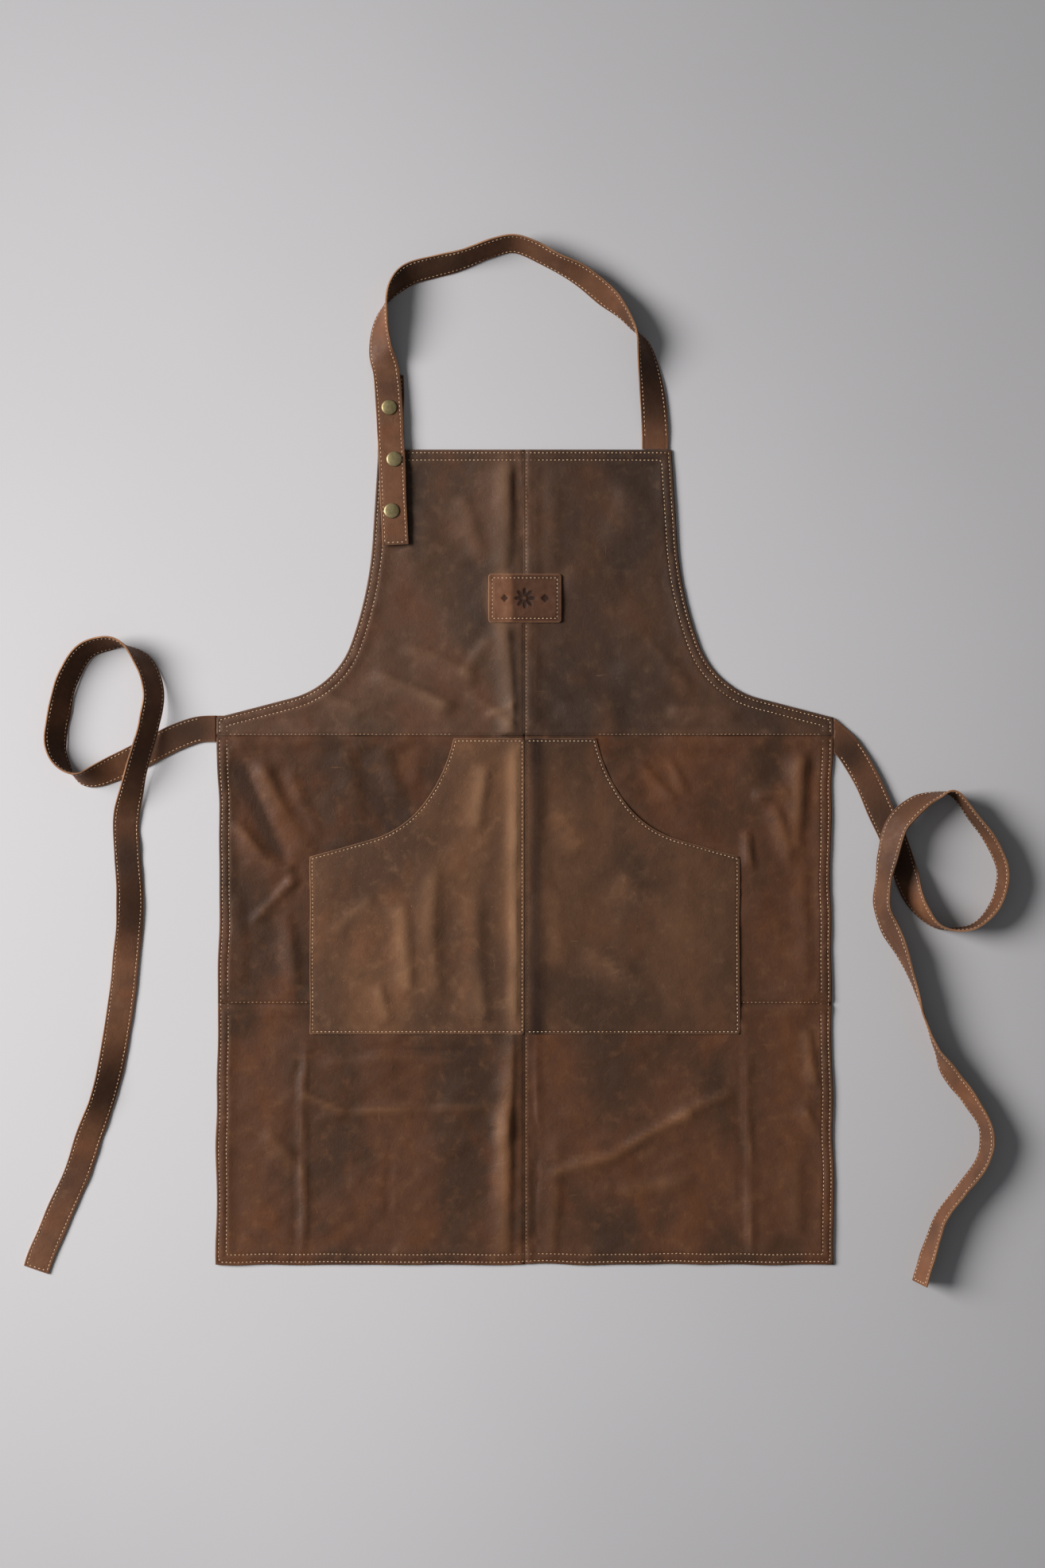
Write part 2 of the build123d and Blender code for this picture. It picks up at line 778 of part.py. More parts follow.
def seam_threads():
    """Rows beside the centre, waist and knee seams, broken under the patch and the pocket."""
    inner = HEM_ROWS[1] + SEAM_MARGIN
    patch_low = PATCH_Y - PATCH_HEIGHT / 2 - ROW_CLEAR
    patch_high = PATCH_Y + PATCH_HEIGHT / 2 + ROW_CLEAR
    pocket_low = POCKET_BOTTOM - ROW_CLEAR
    side_end = HALF_WIDTH - inner
    with BuildPart() as bib:
        straight_row(SEAM_ROW, SEAM_MARGIN, SEAM_ROW, patch_low, FRONT)
        straight_row(SEAM_ROW, patch_high, SEAM_ROW, BIB_TOP - inner, FRONT)
        for side in (-1, 1):
            start = side * (POCKET_HALF_TOP + ROW_CLEAR)
            straight_row(start, SEAM_ROW, side * side_end, SEAM_ROW, FRONT)
    save(bib.part, "bib_seam_thread")
    with BuildPart() as skirt:
        straight_row(SEAM_ROW, pocket_low, SEAM_ROW, HEM_BOTTOM + inner, FRONT)
        for side in (-1, 1):
            start = side * (POCKET_HALF + ROW_CLEAR)
            row = KNEE_SEAM + SEAM_ROW
            straight_row(start, row, side * side_end, row, FRONT)
    save(skirt.part, "skirt_seam_thread")


def pocket_thread():
    """Rows round both pocket halves, just inside their raw edges."""
    with BuildPart() as rows:
        for side in (-1, 1):
            with BuildSketch(Plane.XY.offset(POCKET_BASE + PANEL)):
                for inset, mode in (
                    (EDGE_ROW - THREAD_WIDTH / 2, Mode.ADD),
                    (EDGE_ROW + THREAD_WIDTH / 2, Mode.SUBTRACT),
                ):
                    with BuildSketch(mode=Mode.PRIVATE) as ring:
                        add(pocket_face(side))
                        offset(amount=-inset, kind=Kind.ARC, mode=Mode.REPLACE)
                    add(ring.sketch, mode=mode)
            extrude(amount=THREAD_HEIGHT)
    save(rows.part, "pocket_thread")


os.makedirs("parts", exist_ok=True)
body_panels()
pocket()
patch()
neck_strap()
neck_strap_tail()
neck_tab()
ties()
snaps()
hem_threads()
seam_threads()
pocket_thread()
patch_thread()
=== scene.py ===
"""Leather butcher apron lying face up: cut and sewn panels, two-ply straps, stitches and snaps.

Units are metres, in the CAD's frame: +Z up out of the front face, +Y towards the neck, and z = 0 the
surface it rests on. Sizes come from the CAD nodes where a node has them, and MM scales those written
here in millimetres. The leather is modelled by moving vertices (creases, sag, puckers), with no cloth
simulation: it lies flat, and every seam has to stay where the CAD has it.
"""

from math import cos, hypot, pi, radians, sin, sqrt

import bmesh
import bpy
import numpy as np
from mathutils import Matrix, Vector
from mathutils.geometry import delaunay_2d_cdt


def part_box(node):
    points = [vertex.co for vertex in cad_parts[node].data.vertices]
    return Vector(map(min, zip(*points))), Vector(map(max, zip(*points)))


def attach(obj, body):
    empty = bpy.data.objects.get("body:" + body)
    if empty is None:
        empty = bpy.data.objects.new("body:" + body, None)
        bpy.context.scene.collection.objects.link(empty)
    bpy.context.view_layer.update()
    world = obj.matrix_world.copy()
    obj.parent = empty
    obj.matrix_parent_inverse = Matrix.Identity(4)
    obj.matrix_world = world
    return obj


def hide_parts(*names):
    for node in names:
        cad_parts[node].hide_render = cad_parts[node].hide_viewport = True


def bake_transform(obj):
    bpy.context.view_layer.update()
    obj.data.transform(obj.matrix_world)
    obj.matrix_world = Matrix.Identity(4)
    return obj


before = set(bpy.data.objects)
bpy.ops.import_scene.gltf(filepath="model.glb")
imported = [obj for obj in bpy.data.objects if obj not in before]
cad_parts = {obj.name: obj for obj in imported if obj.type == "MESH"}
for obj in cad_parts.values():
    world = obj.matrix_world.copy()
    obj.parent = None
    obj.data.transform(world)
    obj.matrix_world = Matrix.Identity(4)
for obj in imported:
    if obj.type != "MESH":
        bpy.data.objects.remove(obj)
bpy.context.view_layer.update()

MM = 0.001


def corners(node):
    """Lowest and highest corner of a CAD node as arrays."""
    low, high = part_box(node)
    return np.array(low), np.array(high)


# ---- sizes from the frame

bib_low, bib_high = corners("bib_panel_right")
skirt_low, skirt_high = corners("skirt_panel_right")
pocket_low, pocket_high = corners("pocket_right")
patch_low, patch_high = corners("patch")
tab_low, tab_high = corners("neck_tab_face")
root_low, root_high = corners("neck_strap_root")

FRONT = bib_high[2]
PANEL = FRONT / 2
HALF_WIDTH = bib_high[0]
SEAM_GAP = bib_low[0]
BIB_TOP = bib_high[1]
HEM_BOTTOM = skirt_low[1]
KNEE = skirt_high[1] + SEAM_GAP
POCKET_BOTTOM = pocket_low[1]
POCKET_TOP = pocket_high[1]
POCKET_HALF = pocket_high[0]
PLY = root_high[2] - root_low[2]
STRAP_WIDTH = tab_high[0] - tab_low[0]
LEG_BASE = corners("neck_strap_tail_lining")[0][2]
TAIL_END = corners("neck_strap_tail_face")[0][1]

# Shape of the outline, as in the CAD
BIB_HALF_TOP = 145 * MM
CORNER_Y = 18 * MM
ARMHOLE = [(150.5 * MM, 195 * MM), (172 * MM, 91 * MM), (232 * MM, 37 * MM)]
POCKET_HALF_TOP = 70.5 * MM
POCKET_CORNER_Y = -119.5 * MM
MOUTH = [(100 * MM, -67 * MM), (150 * MM, -102 * MM)]
MOUTH_START = (0.21, -0.98)

HEM = 12 * MM  # width of the margin turned back round the body
ALLOWANCE = 10 * MM  # width of the margin behind each seam
SAG = 0.95 * MM  # how far a panel sinks between its thick margins
JOIN_GAP = 0.08 * MM  # from a seam's line to the edge of the leather on each side
FOLD_GAP = 0.4 * MM  # from the body's side edge to the line where each tie is cut off
ROOT_CLEAR = 0.3 * MM  # room round each strap end sewn under the body
FLOOR_CLEAR = 0.03 * MM  # room under straps and stitches

# Rows of stitches, from the edge or the seam that they follow
HEM_ROWS = (3.2 * MM, 10.4 * MM)
EDGE_ROW = 2.6 * MM
SEAM_ROW = 1.5 * MM
PATCH_ROW = 4 * MM

GRID = 4 * MM  # spacing of the mesh inside a panel
EDGE_STEP = 3 * MM  # spacing of the mesh along an edge
STRAP_STEP = 2.4 * MM  # spacing of the mesh along a strap

# Radius that rounds a turned edge, a cut edge and an edge at a seam
HEM_ROUND = 1.3 * MM
RAW_ROUND = 0.4 * MM
SEAM_ROUND = 0.15 * MM


# ---- small maths


def smooth(value, low, high):
    """0 below low, 1 above high, with a smooth rise between."""
    t = np.clip((value - low) / (high - low), 0.0, 1.0)
    return t * t * (3.0 - 2.0 * t)


def bell(value, width):
    """1 where value is 0, falling away smoothly on both sides within about twice the width."""
    return np.exp(-((value / width) ** 2))


def ridge(value, width, height):
    """A rounded ridge where value is 0, or a groove if height is negative. Sizes in millimetres."""
    return height * MM * bell(value, width * MM)


def swell(x, y, wavelength, seed):
    """Smooth random field of unit spread, as a sum of plane waves."""
    dice = np.random.default_rng(seed)
    waves = 16
    total = np.zeros(np.shape(x))
    for _ in range(waves):
        angle = dice.uniform(0, 2 * pi)
        number = 2 * pi / (wavelength * dice.uniform(0.6, 1.7))
        phase = dice.uniform(0, 2 * pi)
        total += np.cos(number * (x * cos(angle) + y * sin(angle)) + phase)
    return total / sqrt(waves / 2)


def mirrored(x, y):
    """The points, folded over onto the right-hand side."""
    return np.column_stack([np.abs(x), y])


def level(height):
    """A face, or a tone, that is the same all over."""
    return lambda x, y: np.full(len(x), height)


def distance(points, line):
    """Distance of each (x, y) point from a polyline."""
    best = np.full(len(points), np.inf)
    for a, b in zip(line[:-1], line[1:]):
        run = b - a
        square = run @ run
        if square == 0:
            continue
        t = np.clip((points - a) @ run / square, 0.0, 1.0)
        gap = points - a - t[:, None] * run
        best = np.minimum(best, np.hypot(gap[:, 0], gap[:, 1]))
    return best


def resample(line, spacing):
    """Points along a polyline at an even spacing, keeping its sharp corners."""
    line = np.asarray(line, dtype=float)
    out = []
    for a, b in zip(line[:-1], line[1:]):
        count = max(1, round(np.linalg.norm(b - a) / spacing))
        steps = np.arange(count) / count
        out.append(a + steps[:, None] * (b - a))
    out.append(line[-1:])
    return np.vstack(out)


def turned(vector, angle):
    """A vector in plan, turned anticlockwise."""
    x, y = vector
    return np.array([x * cos(angle) - y * sin(angle), x * sin(angle) + y * cos(angle)])


def tangent_arc(start, heading, end):
    """Points after start on the arc that leaves it along heading and reaches end.

    Also the heading at that end.
    """
    start, end = np.array(start), np.array(end)
    heading = np.array(heading) / hypot(*heading)
    chord = end - start
    turn = np.arctan2(heading[0] * chord[1] - heading[1] * chord[0], heading @ chord)
    radius = hypot(*chord) / (2 * sin(turn))
    centre = start + np.array([-heading[1], heading[0]]) * radius
    count = max(2, round(abs(2 * turn * radius) / EDGE_STEP))
    steps = range(1, count + 1)
    points = [centre + turned(start - centre, 2 * turn * step / count) for step in steps]
    return points, turned(heading, 2 * turn)


def two_arcs(start, heading, bend, tip):
    """Points of two arcs that run on smoothly from start, through bend, to tip."""
    first, heading = tangent_arc(start, heading, bend)
    second, _ = tangent_arc(bend, heading, tip)
    return [start, *first, *second]


def box_outline(low, high):
    """Closed rectangle between two corners."""
    return [
        (low[0], low[1]), (high[0], low[1]), (high[0], high[1]), (low[0], high[1]),
        (low[0], low[1]),
    ]


# ---- outlines, for the right-hand side


def armhole_line():
    """From the side of the waist up to the bib's top corner."""
    top = np.array([BIB_HALF_TOP, BIB_TOP])
    first, bend, tip = [np.array(point) for point in ARMHOLE]
    down = [top, *two_arcs(first, first - top, bend, tip), np.array([HALF_WIDTH, CORNER_Y])]
    return down[::-1]


def mouth_line():
    """From the pocket's side corner up to its top corner."""
    start = np.array([POCKET_HALF_TOP, POCKET_TOP])
    down = [*two_arcs(start, MOUTH_START, *MOUTH), np.array([POCKET_HALF, POCKET_CORNER_Y])]
    return down[::-1]


def closed(*points):
    """The outline with its first point again at its end."""
    return [*points, points[0]]


# Open lines with the leather on their left
MOUTH_LINE = np.array(mouth_line())
HEM_LINE = np.array([(0, HEM_BOTTOM), (HALF_WIDTH, HEM_BOTTOM), *armhole_line(), (0, BIB_TOP)])
POCKET_EDGE = np.array(
    [(0, POCKET_BOTTOM), (POCKET_HALF, POCKET_BOTTOM), *MOUTH_LINE, (0, POCKET_TOP)]
)

# Closed outlines of the leather itself
BIB_OUTLINE = closed(
    (JOIN_GAP, JOIN_GAP), (HALF_WIDTH, JOIN_GAP), *armhole_line(), (JOIN_GAP, BIB_TOP)
)
WAIST_OUTLINE = box_outline((JOIN_GAP, KNEE + JOIN_GAP), (HALF_WIDTH, -JOIN_GAP))
SKIRT_OUTLINE = box_outline((JOIN_GAP, HEM_BOTTOM), (HALF_WIDTH, KNEE - JOIN_GAP))
POCKET_OUTLINE = closed(
    (JOIN_GAP, POCKET_BOTTOM), (POCKET_HALF, POCKET_BOTTOM), *MOUTH_LINE, (JOIN_GAP, POCKET_TOP)
)


def pocket_rim(x, y):
    """Distance from the pocket's edge."""
    return distance(mirrored(x, y), POCKET_EDGE)


# ---- relief of the leather

# Fold marks and creases in millimetres: from x, y to x, y, width and height. A negative height sinks in.
CREASES = (
    (-23, 283, -21, 110, 9.5, 2.1), (-21, 158, -17, -4, 8.5, 2.2), (-5, 262, -5, 150, 5.0, -0.9),
    (30, 270, 22, 150, 9.0, 0.8), (-17, -296, -20, -404, 8.0, 1.7),
    (-22, -366, -16, -523, 8.5, 2.1), (9, -300, 9, -523, 6.0, -0.9),
    (30, -396, 27, -523, 7.0, 1.0), (-224, -303, -226, -523, 2.4, -0.8),
    (-218, -303, -220, -523, 4.0, 1.1), (214, -303, 217, -523, 2.4, -0.8),
    (221, -303, 223, -523, 4.5, 1.0), (-134, -388, -134, -523, 3.0, -0.8),
    (-212, -311, -38, -308, 4.0, -1.3), (-205, -321, -60, -318, 6.5, 1.1),
    (-220, -352, -176, -374, 5.0, 1.6), (-180, -372, -30, -366, 5.5, 1.3),
    (-222, -386, -14, -388, 3.0, -0.9), (-262, -390, -214, -440, 9.0, 1.2),
    (10, -372, 208, -380, 5.0, 0.5), (22, -434, 102, -408, 6.0, 1.5),
    (94, -411, 172, -364, 5.5, 1.7), (168, -366, 206, -352, 5.0, 1.2),
    (92, -452, 170, -436, 9.0, 0.9), (284, -288, 288, -348, 5.5, 1.7),
    (277, -368, 294, -404, 5.0, 1.8), (270, -420, 262, -500, 9.0, 0.9),
    (-288, -22, -238, -130, 10.0, -2.2), (-262, -24, -212, -120, 9.0, 1.8),
    (-230, -30, -206, -100, 6.0, 1.2), (-290, -84, -236, -134, 8.0, 2.0),
    (-236, -128, -226, -148, 5.0, 1.4), (-272, -186, -228, -142, 6.0, 1.5),
    (-288, -150, -280, -246, 8.0, 0.9), (-236, -170, -228, -250, 8.0, 1.4),
    (-176, -12, -160, -84, 9.0, 1.1), (-140, -10, -128, -62, 8.0, 0.9),
    (-100, -10, -112, -50, 7.0, 0.8), (272, -16, 268, -122, 9.0, 2.6),
    (252, -66, 264, -132, 7.0, 1.5), (222, -92, 224, -132, 4.5, 1.6),
    (226, -60, 262, -52, 6.0, 1.2), (282, -120, 280, -240, 9.0, 1.2),
    (110, -24, 150, -66, 6.0, 1.0), (140, -20, 160, -56, 5.0, 0.9), (-210, 46, -160, 20, 9.0, 1.3),
    (-150, 62, -70, 26, 8.0, 1.6), (-120, 92, -44, 54, 8.0, 1.2), (-66, 60, -34, 96, 7.0, 1.0),
    (-56, 44, -8, 9, 5.0, 1.6), (-40, 18, -8, 30, 4.0, 0.9), (30, 30, 96, 24, 9.0, 0.9),
    (90, 70, 150, 56, 9.0, 1.0), (140, 26, 210, 16, 6.0, 1.4), (120, 96, 166, 46, 7.0, 1.0),
    (-120, 250, -96, 170, 12.0, 0.7), (-70, 240, -52, 170, 11.0, 0.8),
    (70, 190, 96, 250, 11.0, 0.7),
)
POCKET_FOLDS = (
    (-122, -158, -117, -258, 10.0, 2.4), (-92, -126, -82, -262, 11.5, 3.6),
    (-42, -26, -50, -96, 9.0, 2.0), (-47, -156, -43, -288, 10.0, 2.9),
    (-10, -6, -9, -292, 6.0, 2.6), (16, -30, 15, -280, 8.0, 0.7),
    (-192, -196, -150, -158, 8.0, 1.6), (-146, -246, -136, -286, 6.0, 1.8),
    (-110, -118, -60, -112, 8.0, 1.0), (90, -140, 170, -200, 14.0, 1.3),
    (60, -210, 120, -262, 11.0, 1.1), (34, -70, 60, -110, 9.0, 1.0),
    (28, -150, 40, -230, 11.0, 1.2),
)
CREASE_GAIN = 1.9  # how much higher than in its table each crease of the body stands
FOLD_GAIN = 1.25  # the same for the folds of the pocket
LEAN = 0.38  # how much steeper a crease is on its right than on its left, seen along its run


def crease(x, y, mark, seed):
    """Height of a soft crease that wanders a little about its line and fades at both ends."""
    start = np.array(mark[:2]) * MM
    run = np.array(mark[2:4]) * MM - start
    width, height = mark[4:]
    length = hypot(*run)
    run = run / length
    width = width * MM
    along = (x - start[0]) * run[0] + (y - start[1]) * run[1]
    aside = (y - start[1]) * run[0] - (x - start[0]) * run[1]
    still = np.zeros_like(along)
    aside = aside + 0.3 * width * swell(along, still, 22 * width, seed)
    fade = smooth(along, -0.06 * length, 0.16 * length)
    fade = fade * (1 - smooth(along, 0.84 * length, 1.06 * length))
    strength = 0.85 + 0.2 * swell(along, still, 14 * width, seed + 1)
    flank = width * (1 - LEAN * np.tanh(aside / width))
    return height * MM * strength * fade * bell(aside, flank)


def creased(x, y, marks, seed):
    """Height of a whole table of creases."""
    total = np.zeros(len(x))
    for number, mark in enumerate(marks):
        total += crease(x, y, mark, seed + number)
    return total


def lay(x, y):
    """Height of the body's front face without creases: thick at hems and seams, sagging between them.

    Also the distances from the hem and from the nearest seam.
    """
    hem = distance(mirrored(x, y), HEM_LINE)
    seam = np.minimum(np.abs(x), np.minimum(np.abs(y), np.abs(y - KNEE)))
    sag = smooth(hem, HEM, HEM + 9 * MM) * smooth(seam, ALLOWANCE, ALLOWANCE + 9 * MM)
    return FRONT - SAG * sag, hem, seam


def under_pocket(x, y):
    """1 where the pocket lies on the body and 0 outside it."""
    inside = contains(POCKET_OUTLINE, mirrored(x, y)) | (np.abs(x) <= SEAM_GAP)
    inside &= (y > POCKET_BOTTOM) & (y < POCKET_TOP)
    return inside * smooth(pocket_rim(x, y), 0, 3 * MM)


def under_patch(x, y):
    """1 where the patch lies on the bib, fading to 0 a little outside it."""
    middle, half = (patch_low + patch_high) / 2, (patch_high - patch_low) / 2
    outside = np.maximum(np.abs(x - middle[0]) - half[0], np.abs(y - middle[1]) - half[1])
    return 1 - smooth(outside, 0, 12 * MM)


def body_top(x, y):
    """Height of the body's front face."""
    flat, hem, seam = lay(x, y)
    relief = 0.55 * MM * swell(x, y, 90 * MM, 11) + 0.24 * MM * swell(x, y, 34 * MM, 12)
    relief += 0.07 * MM * swell(x, y, 14 * MM, 13)
    relief += CREASE_GAIN * creased(x, y, CREASES, seed=100)
    relief *= 0.25 + 0.75 * smooth(hem, 4 * MM, 26 * MM)
    covered = np.maximum(under_pocket(x, y), 0.8 * under_patch(x, y))
    relief = np.where(relief > 0, relief * (1 - covered), relief)
    top = flat + relief
    top += ridge(seam - 5 * MM, 3.2, 0.35) + ridge(seam, 0.8, -0.3)
    pucker = swell(x, y, 11 * MM, 14) + 0.6 * swell(x, y, 5 * MM, 15)
    top += 0.10 * MM * pucker * bell(hem - 7 * MM, 5 * MM)
    top += ridge(hem - 7 * MM, 2.4, 0.25)
    for row in HEM_ROWS:
        top += ridge(hem - row, 0.9, -0.42)
    top += ridge(seam - SEAM_ROW, 0.8, -0.3)
    # Beside the waist seam the faces stay low enough to close on each other when it folds
    top = np.minimum(top, FRONT + 0.8 * np.abs(y))
    return np.maximum(top, PANEL + 0.15 * MM)


WAIST_TAPE = 0.5 * MM
WAIST_TAPE_ROOM = WAIST_TAPE + 0.1 * MM
ROOT_BOXES = [
    corners(node)
    for node in ("neck_strap_root", "neck_tab_root", "tie_left_root", "tie_right_root")
]


def body_bottom(x, y):
    """Height of the body's back face: on the surface at hems and seams, one leather thick elsewhere."""
    top = body_top(x, y)
    _, hem, seam = lay(x, y)
    single = np.minimum(
        smooth(hem, HEM, HEM + 0.8 * MM), smooth(seam, ALLOWANCE, ALLOWANCE + 0.8 * MM)
    )
    back = single * np.maximum(0.0, top - PANEL)
    tape = WAIST_TAPE_ROOM * (1 - smooth(np.abs(y), 7 * MM, 7.5 * MM))
    back = np.maximum(back, tape)
    for low, high in ROOT_BOXES:
        covered = (x > low[0] - ROOT_CLEAR) & (x < high[0] + ROOT_CLEAR)
        covered &= (y > low[1] - ROOT_CLEAR) & (y < high[1] + ROOT_CLEAR)
        back = np.where(covered, np.maximum(back, high[2] + 0.05 * MM), back)
    return np.minimum(back, top - 0.5 * MM)


def pocket_bottom(x, y):
    """Height of the pocket's back face, which follows the body and billows between its sewn edges."""
    flat, _, _ = lay(x, y)
    mouth = distance(mirrored(x, y), MOUTH_LINE)
    billow = 0.35 * MM + 0.35 * MM * swell(x, y, 60 * MM, 21)
    billow += 0.10 * MM * swell(x, y, 20 * MM, 22)
    billow += FOLD_GAIN * creased(x, y, POCKET_FOLDS, seed=200)
    billow *= smooth(np.minimum(pocket_rim(x, y), np.abs(x) * 1.5), 3 * MM, 18 * MM)
    gape = (1 - smooth(mouth, 4 * MM, 60 * MM)) * bell(np.abs(x) - 138 * MM, 50 * MM)
    billow = np.maximum(billow, 0) + 1.3 * MM * gape
    seat = np.where(np.abs(x) < ALLOWANCE, np.maximum(flat, FRONT), flat)
    return seat + 0.12 * MM + billow


def pocket_top(x, y):
    """Height of the pocket's front face, with grooves at its centre seam and its stitches."""
    top = pocket_bottom(x, y) + PANEL
    top += ridge(np.abs(x) - 4 * MM, 3, 0.3) + ridge(x, 0.9, -0.35)
    top += ridge(pocket_rim(x, y) - EDGE_ROW, 0.8, -0.3) + ridge(np.abs(x) - EDGE_ROW, 0.7, -0.3)
    return top + 0.06 * MM * swell(x, y, 9 * MM, 23)


def warp(points):
    """Moves body points a little in plan, so that the cut edges aren't ruler straight."""
    x, y = points[:, 0], points[:, 1]
    out = np.abs(x) / HALF_WIDTH
    waist = bell(y + 130 * MM, 190 * MM) * smooth(-y, 10 * MM, 60 * MM)
    shift_x = -np.sign(x) * 2.2 * MM * out**4 * waist
    loose = smooth(-y, 15 * MM, 60 * MM)
    shift_x = shift_x + 0.5 * MM * swell(x, y, 70 * MM, 31) * out**2 * loose
    shift_y = 0.45 * MM * swell(x, y, 80 * MM, 32) * smooth(-y, 330 * MM, 520 * MM)
    moved = points.copy()
    moved[:, 0] += shift_x
    moved[:, 1] += shift_y
    return moved


# ---- meshes


def contains(outline, points):
    """Whether each (x, y) point is inside a closed outline."""
    inside = np.zeros(len(points), dtype=bool)
    x, y = points[:, 0], points[:, 1]
    for (ax, ay), (bx, by) in zip(outline[:-1], outline[1:]):
        if ay == by:
            continue
        crosses = (ay > y) != (by > y)
        inside ^= crosses & (x < (bx - ax) * (y - ay) / (by - ay) + ax)
    return inside


def inset(line, amount):
    """The polyline moved to its left by amount, without the points that would fall too close to it."""
    ahead = np.gradient(line, axis=0)
    ahead /= np.maximum(np.linalg.norm(ahead, axis=1), 1e-12)[:, None]
    moved = line + np.column_stack([-ahead[:, 1], ahead[:, 0]]) * amount
    return moved[distance(moved, line) > 0.97 * amount]


def fill(outline, rings, grid):
    """Triangulates a closed outline, with rings of points inside its edge and a grid in the middle.

    Returns the (x, y) points, the triangles and the indices of the points on the outline, in order.
    """
    edge = resample(outline, min(EDGE_STEP, grid))[:-1]
    rim = np.vstack([edge, edge[:1]])
    layers = [edge, *[inset(rim, ring) for ring in rings]]
    low, high = rim.min(axis=0), rim.max(axis=0)
    across = np.arange(low[0] + grid / 2, high[0], grid)
    up = np.arange(low[1] + grid / 2, high[1], grid)
    lattice = np.array(np.meshgrid(across, up)).reshape(2, -1).T
    lattice = lattice[contains(rim, lattice)]
    lattice = lattice[distance(lattice, rim) > rings[-1] + 0.45 * grid]
    layers.append(lattice)
    flat = np.vstack(layers)
    count = len(edge)
    borders = [(index, (index + 1) % count) for index in range(count)]
    solved = delaunay_2d_cdt(
        [Vector(point) for point in flat.tolist()], borders, [], 1, 1e-7
    )
    points = np.array([tuple(vertex) for vertex in solved[0]])
    source = {}
    for number, originals in enumerate(solved[3]):
        for original in originals:
            source[original] = number
    return points, np.array(solved[2]), [source[index] for index in range(count)]


def make_object(name, vertices, faces, materials, kinds=None, tone=None, rest=None):
    """A smooth-shaded mesh object. rest keeps the undeformed position for the materials to read."""
    mesh = bpy.data.meshes.new(name)
    mesh.from_pydata(vertices.tolist(), [], faces)
    for material in materials:
        mesh.materials.append(material)
    if kinds is not None:
        mesh.polygons.foreach_set("material_index", np.asarray(kinds, dtype=np.int32))
    place = mesh.attributes.new("rest", "FLOAT_VECTOR", "POINT")
    rest = vertices if rest is None else rest
    place.data.foreach_set("vector", np.asarray(rest, dtype=np.float32).ravel())
    shade = mesh.attributes.new("tone", "FLOAT", "POINT")
    tone = np.zeros(len(vertices)) if tone is None else tone
    shade.data.foreach_set("value", np.asarray(tone, dtype=np.float32))
    mesh.shade_smooth()
    thing = bpy.data.objects.new(name, mesh)
    bpy.context.scene.collection.objects.link(thing)
    return thing


def ring_faces(first, rings, size, outward=False):
    """Quads between neighbouring rings of size points each, the first ring starting at index first."""
    faces = []
    for ring in range(rings - 1):
        low = first + ring * size
        for step in range(size):
            after = (step + 1) % size
            quad = (low + step, low + after, low + size + after, low + size + step)
            faces.append((quad[0], *quad[:0:-1]) if outward else quad)
    return faces


def raw_edged(rim, width):
    """Kinds of a piece's faces: grain in front with a raw rim of this width, flesh side behind."""

    def kinds(centre):
        front = np.where(rim(centre[:, 0], centre[:, 1]) < width, 2, 0)
        return front, np.ones(len(centre), dtype=int)

    return kinds


def drop(edge, radius):
    """How far a rounded edge falls below the face at a distance from the edge."""
    inner = np.clip(radius - edge, 0.0, radius)
    return radius - np.sqrt(radius**2 - inner**2)


def sheet(name, outline, side, rings, top, bottom, soft, materials, kind_of, tone_of, grid=GRID):
    """A leather piece with thickness, from its right-hand outline, its two face heights and its edge.

    soft gives the rounding of each point's nearest edges, kind_of the material of each face.
    """
    points, triangles, rim = fill(outline, rings, grid)
    points = points * [side, 1]
    x, y = points[:, 0], points[:, 1]
    fall = soft(np.column_stack([np.abs(x), y]))
    upper, lower = top(x, y), bottom(x, y)
    middle = (upper + lower) / 2
    upper = np.maximum(upper - fall, middle)
    lower = np.minimum(lower + fall, middle)
    plan = warp(points)
    vertices = np.vstack(
        [np.column_stack([plan, upper]), np.column_stack([plan, lower])]
    )
    count = len(points)
    order = [0, 1, 2] if side > 0 else [2, 1, 0]
    front = triangles[:, order]
    back = triangles[:, order[::-1]] + count
    walls = []
    for a, b in zip(rim, rim[1:] + rim[:1]):
        wall = [b, a, a + count, b + count]
        walls.append(wall if side > 0 else wall[::-1])
    centre = points[triangles].mean(axis=1)
    kinds = np.concatenate([*kind_of(centre), np.full(len(walls), 2)])
    faces = front.tolist() + back.tolist() + walls
    tone = np.tile(tone_of(x, y), 2)
    rest = np.column_stack([np.tile(points, (2, 1)), vertices[:, 2]])
    return make_object(name, vertices, faces, materials, kinds, tone, rest)


# ---- materials


